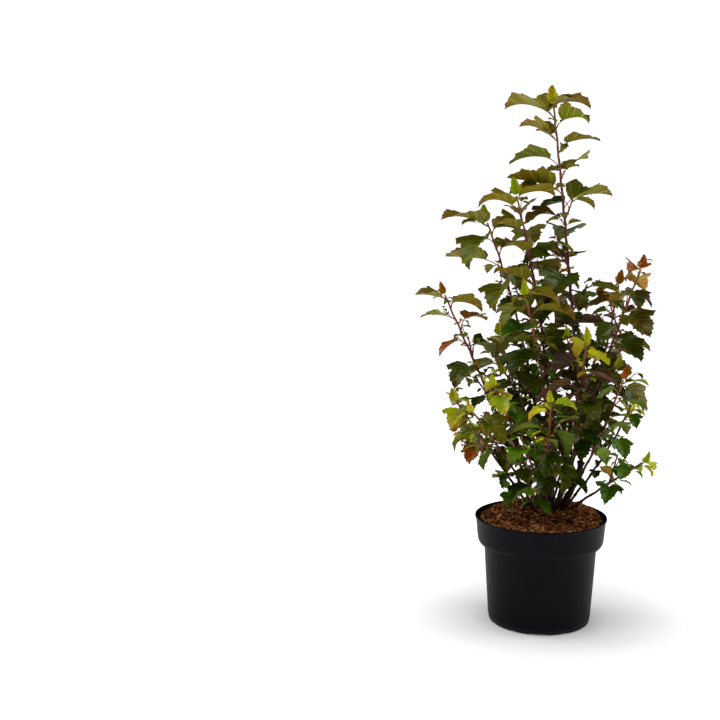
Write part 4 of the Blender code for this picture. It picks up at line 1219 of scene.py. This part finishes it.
# Half an outline from the stalk to the tip, in shares of the blade's length: the edge's x and y, and the
# place on the midrib that its row of points starts from, which is where its side vein leaves.
LOBED_EDGE = (
    (0.0, 0.02, 0.0), (-0.01, 0.15, 0.0), (0.06, 0.30, 0.01), (0.22, 0.43, 0.04), (0.47, 0.51, 0.09),
    (0.49, 0.27, 0.17), (0.62, 0.29, 0.32), (0.78, 0.22, 0.52), (0.90, 0.10, 0.76), (1.0, 0.0, 1.0),
)
PLAIN_EDGE = (
    (0.0, 0.02, 0.0), (0.02, 0.12, 0.0), (0.10, 0.23, 0.02), (0.24, 0.33, 0.07), (0.42, 0.39, 0.15),
    (0.52, 0.30, 0.27), (0.66, 0.27, 0.42), (0.80, 0.19, 0.60), (0.91, 0.09, 0.80), (1.0, 0.0, 1.0),
)
LOBES_FROM = 0.012  # a blade is lobed by the share (length - LOBES_FROM) / LOBES_OVER, and at least by
LOBES_OVER = 0.026  # LEAST_LOBED
LEAST_LOBED = 0.3
BLADE_VARIES = {
    "lobes": (0.75, 1.15), "width": (0.94, 1.06), "teeth": (0.6, 1.3), "fold": (0.5, 2.0), "wave": (0.3, 1.4),
    "curl": (-0.2, 1.6), "bend": (0.3, 1.9),
}
TEETH = (1.0, -0.6, 0.45, -0.5)
TOOTH = 0.034
TEETH_END = 1.02  # the teeth fade out just short of the tip
TEETH_FADE = 0.4
TOOTH_LEAN = 0.5
COLUMN_SPREAD = 0.9  # the columns of points crowd a little towards the midrib
VEINS = 6
LEAST_FOLD = 0.2
FOLD_EASE = 0.55
PLEAT = 0.042
PLEAT_SHAPE = 0.7
PLEAT_FADE = 0.3
SHEET = 0.0004
TWIST = 0.35
SIDE_BEND = 0.10
LEAST_BEND = 0.02
WAVE = 0.040
WAVES = 1.6  # on one edge
WAVE_APART = 1.3
TIP_CURL = 0.16
CURL_END = 1.2
CLOSED_FOLD = 1.0  # a shoot's end leaf has hardly opened
OPEN_FOLD = -1.5  # leaves in the shade at the foot lie flat
LARGE_BLADE = 0.030
LARGE_GRID = (25, 3)  # rows of points along the edge, and columns to each side of the midrib
SMALL_GRID = (15, 2)


def eased(controls, rows):
    """Controls read at even steps, halfway between straight lines through them and the Catmull-Rom
    cubic, so that lobes keep their points."""
    last = len(controls) - 1
    u = np.linspace(0, last, rows)
    k = np.minimum(u.astype(int), last - 1)
    f = (u - k)[:, None]
    more = np.vstack((2 * controls[0] - controls[1], controls, 2 * controls[-1] - controls[-2]))
    p, q, r, w = more[k], more[k + 1], more[k + 2], more[k + 3]
    cubic = q + (r - p) * f / 2 + (p - 2.5 * q + 2 * r - w / 2) * f**2 + (1.5 * (q - r) + (w - p) / 2) * f**3
    return (cubic + q + (r - q) * f) / 2


def blade_faces(rows, half):
    """Faces of one leaf: a top sheet and an underside that share the edge, the base row and the tip.

    It returns the faces, the number of points, and where the underside's own points sit on the grid.
    """
    columns = 2 * half + 1
    top = np.arange((rows - 1) * columns).reshape(rows - 1, columns)
    tip = top.size
    under = top.copy()
    own = np.zeros(top.shape, bool)
    own[1:, 1:-1] = True
    under[own] = tip + 1 + np.arange(own.sum())

    def sheet(grid, flip):
        """One side's quads, and its triangles to the tip."""
        a, b = grid[:-1, :-1], grid[:-1, 1:]
        c, d = grid[1:, 1:], grid[1:, :-1]
        quads = np.stack((a, d, c, b) if flip else (a, b, c, d), axis=-1).reshape(-1, 4)
        ends = np.full(columns - 1, tip)
        last = (grid[-1, 1:], grid[-1, :-1], ends) if flip else (grid[-1, :-1], grid[-1, 1:], ends)
        return quads, np.stack(last, axis=-1)

    top_quads, top_ends = sheet(top, True)
    low_quads, low_ends = sheet(under, False)
    return (top_quads, top_ends, low_quads, low_ends), tip + 1 + own.sum(), own


def blade_points(pick, rows, half, rng):
    """Points and (u, v) of leaf blades on a grid of rows along the edge and columns from the midrib, and
    the way that is up at each point.

    A point is (1-a) B + a M, with M on the toothed edge and B on the midrib. Its height is the fold's
    f (|y| - FOLD_EASE y^2), the pleats' |sin(pi v)|, a wave along the edge less the tip's curl x^4. The
    midrib is then twisted and bent on a circle. BLADE_VARIES says how much the blades differ in each.
    """
    count = len(pick)

    def each(low, high):
        """One draw for each blade."""
        return rng.uniform(low, high, (count, 1, 1))

    lobed = np.clip((size[pick] - LOBES_FROM) / LOBES_OVER, LEAST_LOBED, 1.0)[:, None, None]
    lobed = lobed * each(*BLADE_VARIES["lobes"])
    edge = lobed * eased(np.array(LOBED_EDGE), rows) + (1 - lobed) * eased(np.array(PLAIN_EDGE), rows)
    edge = np.broadcast_to(edge[:, None], (count, 2, rows, 3)).copy()
    edge[..., 1] *= rng.uniform(*BLADE_VARIES["width"], (count, 2, 1))
    s = np.linspace(0, 1, rows)
    ease = np.sin(math.pi * np.clip(s * TEETH_END, 0, 1)) ** TEETH_FADE
    phase = np.arange(2)[:, None] * 2 + np.arange(rows)
    tooth = TOOTH * np.array(TEETH)[phase % 4] * ease * rng.uniform(*BLADE_VARIES["teeth"], (count, 2, rows))
    along = unit(np.gradient(edge[..., :2], axis=2) + 1e-9)
    edge[..., 0] += tooth * (TOOTH_LEAN - along[..., 1])
    edge[..., 1] += tooth * along[..., 0]
    edge[:, :, -1, 0], edge[:, :, -1, 1] = 1.0, 0.0
    edge[..., 1] = np.maximum(edge[..., 1], 0.0)
    column = np.arange(-half, half + 1)
    a = (np.abs(column) / half) ** COLUMN_SPREAD
    m = edge[:, (column > 0).astype(int)].transpose(0, 2, 1, 3)
    x = (1 - a) * m[..., 2] + a * m[..., 0]
    y = np.sign(column) * a * m[..., 1]
    v = np.broadcast_to(s[None, :, None], x.shape) * VEINS
    fold = FOLD * np.maximum(each(*BLADE_VARIES["fold"]) + extra_fold[pick][:, None, None], LEAST_FOLD)
    y = y * np.sqrt((1 + FOLD**2) / (1 + fold**2))
    wide = np.abs(y)
    rise = fold * (wide - FOLD_EASE * wide**2)
    rise += PLEAT * np.abs(np.sin(math.pi * v)) * a**PLEAT_SHAPE * (1 - PLEAT_FADE * a)
    swing = each(0, 2 * math.pi) + np.sign(column) * WAVE_APART
    wave = WAVE * np.sin(2 * math.pi * WAVES * s[None, :, None] + swing)
    rise += wave * a**2 * each(*BLADE_VARIES["wave"])
    rise -= TIP_CURL * each(*BLADE_VARIES["curl"]) * np.clip(x, 0, CURL_END) ** 4
    angle = TWIST * each(-1, 1) * x
    y, rise = y * np.cos(angle) - rise * np.sin(angle), y * np.sin(angle) + rise * np.cos(angle)
    y = y + SIDE_BEND * each(-1, 1) * x**2
    bend = 2 * (droop[pick][:, None, None] * each(*BLADE_VARIES["bend"]) + LEAST_BEND)
    turn = bend * x
    ahead = np.sin(turn) / bend + rise * np.sin(turn)
    up = -(1 - np.cos(turn)) / bend + rise * np.cos(turn)
    frame_of = np.stack((axis[pick], side[pick], normal[pick]), axis=1)
    place = np.stack((ahead, y, up), axis=-1) * size[pick][:, None, None, None]
    points = joint[pick][:, None, None] + np.einsum("nrck,nkd->nrcd", place, frame_of)
    u = 0.5 + 0.5 * np.sign(column) * a
    uv = np.stack((np.broadcast_to(u, x.shape), v), axis=-1)
    above = np.stack((np.sin(turn), 0 * turn, np.cos(turn)), -1)
    return points, uv, np.einsum("nrck,nkd->nrcd", above, frame_of)


def blades(name, pick, materials, seed):
    """One piece of all the blades of one colour, large and small. The underside lies under the top by
    SHEET (1 - a^3), where a is 0 at the midrib and 1 at the edge."""
    rng = np.random.default_rng(seed)
    all_points, all_faces, all_uv, slots, tints, offset = [], [], [], [], [], 0
    for big in (True, False):
        chosen = pick[(size[pick] >= LARGE_BLADE) == big]
        if not len(chosen):
            continue
        rows, half = LARGE_GRID if big else SMALL_GRID
        groups, one, own = blade_faces(rows, half)
        grid, uv, above = blade_points(chosen, rows, half, rng)
        flat, flat_uv = grid[:, :-1], uv[:, :-1]
        a = np.abs(np.arange(-half, half + 1)) / half
        count = len(chosen)
        lower = (flat - above[:, :-1] * SHEET * (1 - a**3)[None, None, :, None])[:, own]
        points = np.concatenate((flat.reshape(count, -1, 3), grid[:, -1, half][:, None], lower), axis=1)
        tip_uv = uv[:, -1, half][:, None]
        pairs = np.concatenate((flat_uv.reshape(count, -1, 2), tip_uv, flat_uv[:, own]), axis=1)
        shift = offset + one * np.arange(count)[:, None, None]
        for group, slot in zip(groups, (0, 0, 1, 1)):
            faces = (group[None] + shift).reshape(-1, group.shape[1])
            all_faces.append(faces)
            slots.append(np.full(len(faces), slot))
        all_points.append(points.reshape(-1, 3))
        all_uv.append(pairs.reshape(-1, 2))
        tints.append(np.repeat(rng.uniform(0, 1, count), one))
        offset += count * one
    piece = new_piece(
        name, np.concatenate(all_points), all_faces, materials, {"tint": np.concatenate(tints)}, sharp=70,
        face_material=np.concatenate(slots), uv=np.concatenate(all_uv),
    )
    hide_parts(*mass_nodes)


def leaf_skin(name, tones, vein, edge, roughness, vein_share):
    """A leaf's skin: two tones that each leaf mixes its own way, paler veins along whole values of v and
    along the midrib, an edge and a tip that the sun has coloured, and a fine blistered surface."""
    gloss = {"Specular IOR Level": 0.38, "Roughness": roughness, "Specular Tint": (1.0, 1.0, 0.7, 1.0)}
    skin, place = new_material(name, {"IOR": 1.45, **gloss})
    surface = add_node(skin, "UVMap", {"uv_map": "surface"}).outputs["UV"]
    parts = add_node(skin, "SeparateXYZ", {"Vector": surface}).outputs
    cloud = scaled(skin, noise(skin, place, scale=55.0, detail=5.0, roughness=0.6), to=(-0.9, 0.9))
    mixed = maths(skin, "ADD", own_value(skin, "tint"), cloud, clamp=True)
    from_vein = maths(skin, "PINGPONG", parts["Y"], 0.5)
    from_midrib = maths(skin, "ABSOLUTE", maths(skin, "SUBTRACT", parts["X"], 0.5))
    side_vein = scaled(skin, from_vein, to=(vein_share, 0.0), over=(0.0, 0.15))
    midrib = scaled(skin, from_midrib, to=(vein_share * 1.3, 0.0), over=(0.0, 0.045))
    veins = maths(skin, "MAXIMUM", side_vein, midrib)
    veined = mix(skin, veins, mix(skin, mixed, *tones), vein)
    margin = scaled(skin, from_midrib, to=(0.0, 0.6), over=(0.40, 0.5))
    sunny = scaled(skin, parts["Y"], to=(0.0, 0.7), over=(0.45 * VEINS, 1.05 * VEINS))
    blushed = maths(skin, "MAXIMUM", margin, maths(skin, "MULTIPLY", sunny, mixed))
    feed(skin, mix(skin, blushed, veined, edge), "Base Color")
    blisters = add_node(skin, "TexVoronoi", {"Scale": 520.0, "feature": "SMOOTH_F1", "Vector": place})
    sunk = maths(skin, "MULTIPLY_ADD", veins, -2.0, blisters.outputs["Distance"])
    bumpy(skin, sunk, strength=0.35, distance=0.0006)
    return skin


# Colours by kind of leaf: two tones of the top, its veins, two tones of the underside, and the edge.
LeafKind = namedtuple("LeafKind", "name top vein under edge gloss")
KINDS = (
    LeafKind("dark green", ("#193604", "#3c4e07"), "#5f7c10", ("#4a6210", "#68741a"), "#54320a", 0.30),
    LeafKind("fresh green", ("#2f6404", "#568c08"), "#8eb818", ("#628a18", "#80a41f"), "#6a5c0e", 0.38),
    LeafKind("olive bronze", ("#3c4405", "#5e400b"), "#8e9020", ("#686c16", "#86641c"), "#6a300e", 0.36),
    LeafKind("purple brown", ("#33201e", "#54332a"), "#77623a", ("#5a3c32", "#724e36"), "#45161a", 0.34),
    LeafKind("lime", ("#84a406", "#bcc20c"), "#dce222", ("#9eb016", "#c0c01e"), "#c46a14", 0.42),
    LeafKind("orange red", ("#a03a0e", "#b08c18"), "#ccac28", ("#9a4a1a", "#a48c20"), "#8a2a14", 0.40),
    LeafKind("olive yellow", ("#556307", "#72640a"), "#a0aa1a", ("#6e7612", "#84761a"), "#84460c", 0.40),
)
DARK, FRESH, BRONZE, PURPLE, LIME, ORANGE, OLIVE = range(len(KINDS))

# What a spray's leaves are coloured: at its tip, on its upper part, on its lower part, and now and then.
SPRAY_COLOURS = {
    "leader": (OLIVE, OLIVE, DARK, BRONZE),
    "second": (OLIVE, OLIVE, DARK, BRONZE),
    "left_mid": (OLIVE, OLIVE, DARK, DARK),
    "left_tall": (OLIVE, OLIVE, DARK, ORANGE),
    "right_tall": (ORANGE, BRONZE, DARK, OLIVE),
    "right_back": (ORANGE, BRONZE, DARK, PURPLE),
    "back": (ORANGE, BRONZE, DARK, DARK),
    "pink": (OLIVE, OLIVE, DARK, FRESH),
    "left_low": (OLIVE, OLIVE, DARK, LIME),
    "right_bare": (BRONZE, DARK, DARK, FRESH),
    "right_mid": (LIME, FRESH, DARK, ORANGE),
    "right_low": (LIME, FRESH, FRESH, OLIVE),
    "front_right": (LIME, PURPLE, DARK, FRESH),
    "front": (LIME, DARK, DARK, OLIVE),
    "front_left": (FRESH, FRESH, DARK, LIME),
    "left_front": (LIME, FRESH, DARK, ORANGE),
    "left_fan": (OLIVE, OLIVE, DARK, PURPLE),
    "foot_front": (FRESH, FRESH, FRESH, FRESH),
    "foot_left": (FRESH, FRESH, DARK, DARK),
}
OTHER_SPRAYS = (OLIVE, DARK, DARK, BRONZE)
YOUNGEST = {OLIVE: LIME, BRONZE: ORANGE, DARK: FRESH}  # the end leaf of a spray with such a tip
END_COLOURS = {"left_tall": ORANGE, "foot_front": FRESH, "foot_left": FRESH}
TIP_SHARE = 0.86
UPPER_SHARE = 0.45
NOW_AND_THEN = 0.16
TOP_VEINS = 0.45  # how far the veins' paler colour shows
UNDER_VEINS = 0.9
UNDER_GLOSS = 0.6

kind_rng = np.random.default_rng(77)
chances = kind_rng.uniform(0, 1, len(all_leaves))
kinds = []
for grown, chance in zip(all_leaves, chances):
    spray = grown.mass.name.replace("_foliage", "").split("_side_")[0]
    tip, upper, lower, other = SPRAY_COLOURS.get(spray, OTHER_SPRAYS)
    if "_side_" in grown.mass.name:
        tip, upper = upper, lower
    here = tip if grown.share >= TIP_SHARE else upper if grown.share >= UPPER_SHARE else lower
    if grown.leaf.droop == 0:
        kinds.append(END_COLOURS.get(spray, YOUNGEST.get(tip, tip)))
    else:
        kinds.append(other if chance < NOW_AND_THEN else here)
kinds = np.array(kinds)
at_foot = np.array([grown.mass.name.startswith("foot") for grown in all_leaves])
extra_fold = np.where(at_foot, OPEN_FOLD, np.where(droop == 0, CLOSED_FOLD, 0.0))

for number, kind in enumerate(KINDS):
    skins = [
        leaf_skin(kind.name + " leaf top", kind.top, kind.vein, kind.edge, kind.gloss, TOP_VEINS),
        leaf_skin(kind.name + " leaf underside", kind.under, kind.vein, kind.edge, UNDER_GLOSS, UNDER_VEINS),
    ]
    blades("leaves_" + kind.name.replace(" ", "_"), np.flatnonzero(kinds == number), skins, 100 + number)

# ---------------------------------------------------------------------------------------------------
# The studio: a white floor that runs on past the horizon and glows, with a painted shadow round the pot;
# broad soft lamps; and the camera.

FLOOR_REACH = 60.0
ROOM_LIGHT = 0.22  # the white room's light on the plant; the camera sees its walls burnt out
ROOM_IN_GLOSS = 0.06  # dark walls in what glossy leaves reflect, so that only the lamps shine in them
# Painted shadow, partly: besides the lamps' real shadow, the floor's glow is near black under the pot and
# grows to full white by 0.42 m out.
FLOOR_GLOW_AND_PAINTED_SHADOW = (  # the floor's brightness by the distance from the pot's middle, in metres
    (0.0682, "#040404"), (0.0708, "#7c7c7c"), (0.0745, "#8a8a8a"), (0.10, "#a8a8a8"), (0.16, "#c8c8c8"),
    (0.26, "#ebebeb"), (0.42, "#ffffff"),
)
WALLS_SHOWN = 1.1
LAMP_AIM = (0.0, 0.0, 0.4)
LAMPS = (  # name, place, side of its square, power in watts
    ("left bank", (-1.5, 0.3, 1.1), 1.0, 11.2),
    ("right bank", (1.5, 0.2, 1.1), 1.0, 9.8),
    ("overhead", (-0.3, -0.5, 2.2), 0.8, 13.6),
)
CAMERA_PLACE = (0.0, -1.72, 0.622)
CAMERA_DOWN = 7.97  # degrees by which it looks down, and to the left
CAMERA_LEFT = 8.80
SENSOR = 36.0
LENS = 60.0

floor_mesh = bpy.data.meshes.new("studio_floor")
floor_corners = [(a * FLOOR_REACH, b * FLOOR_REACH, 0.0) for a, b in ((-1, -1), (1, -1), (1, 1), (-1, 1))]
floor_mesh.from_pydata(floor_corners, [], [(0, 1, 2, 3)])
studio_floor = add_object("studio_floor", floor_mesh)
white, place = new_material("white studio floor", {
    "Roughness": 0.9, "Specular IOR Level": 0.0, "Base Color": (0.6, 0.6, 0.6, 1.0), "Emission Strength": 1.0,
})
away = add_node(white, "VectorMath", {"operation": "LENGTH", 0: place}).outputs["Value"]
# painted shadow: the glow follows the ramp by distance, so the floor is dark round the pot whatever the light
feed(white, ramp(white, away, *FLOOR_GLOW_AND_PAINTED_SHADOW), "Emission Color")
floor_mesh.materials.append(white)

world = bpy.data.worlds.new("studio light")
bpy.context.scene.world = world
world.use_nodes = True
shown = world.node_tree.nodes["Background"]
shown.inputs["Color"].default_value = (1.0, 1.0, 1.0, 1.0)
shown.inputs["Strength"].default_value = WALLS_SHOWN
lit = add_node(world, "Background", {"Strength": ROOM_LIGHT}).outputs[0]
mirrored = add_node(world, "Background", {"Strength": ROOM_IN_GLOSS}).outputs[0]
path = add_node(world, "LightPath").outputs
unseen = add_node(world, "MixShader", {0: path["Is Glossy Ray"], 1: lit, 2: mirrored}).outputs[0]
choice = add_node(world, "MixShader", {0: path["Is Camera Ray"], 1: unseen, 2: shown.outputs[0]})
feed(world, choice.outputs[0], "Surface", "World Output")

for name, place, width, power in LAMPS:
    lamp_data = bpy.data.lights.new(name, "AREA")
    lamp_data.size, lamp_data.energy = width, power
    lamp = add_object(name, lamp_data)
    x, y, z = np.array(LAMP_AIM) - np.array(place)
    lamp.location = place
    lamp.rotation_euler = (math.atan2(math.hypot(x, y), -z), 0.0, math.atan2(-x, y))

camera_data = bpy.data.cameras.new("camera")
camera_data.sensor_width, camera_data.lens = SENSOR, LENS
camera = add_object("camera", camera_data)
camera.location = CAMERA_PLACE
camera.rotation_euler = (math.radians(90 - CAMERA_DOWN), 0.0, math.radians(CAMERA_LEFT))
bpy.context.scene.camera = camera
bpy.context.scene.view_settings.view_transform = "Standard"
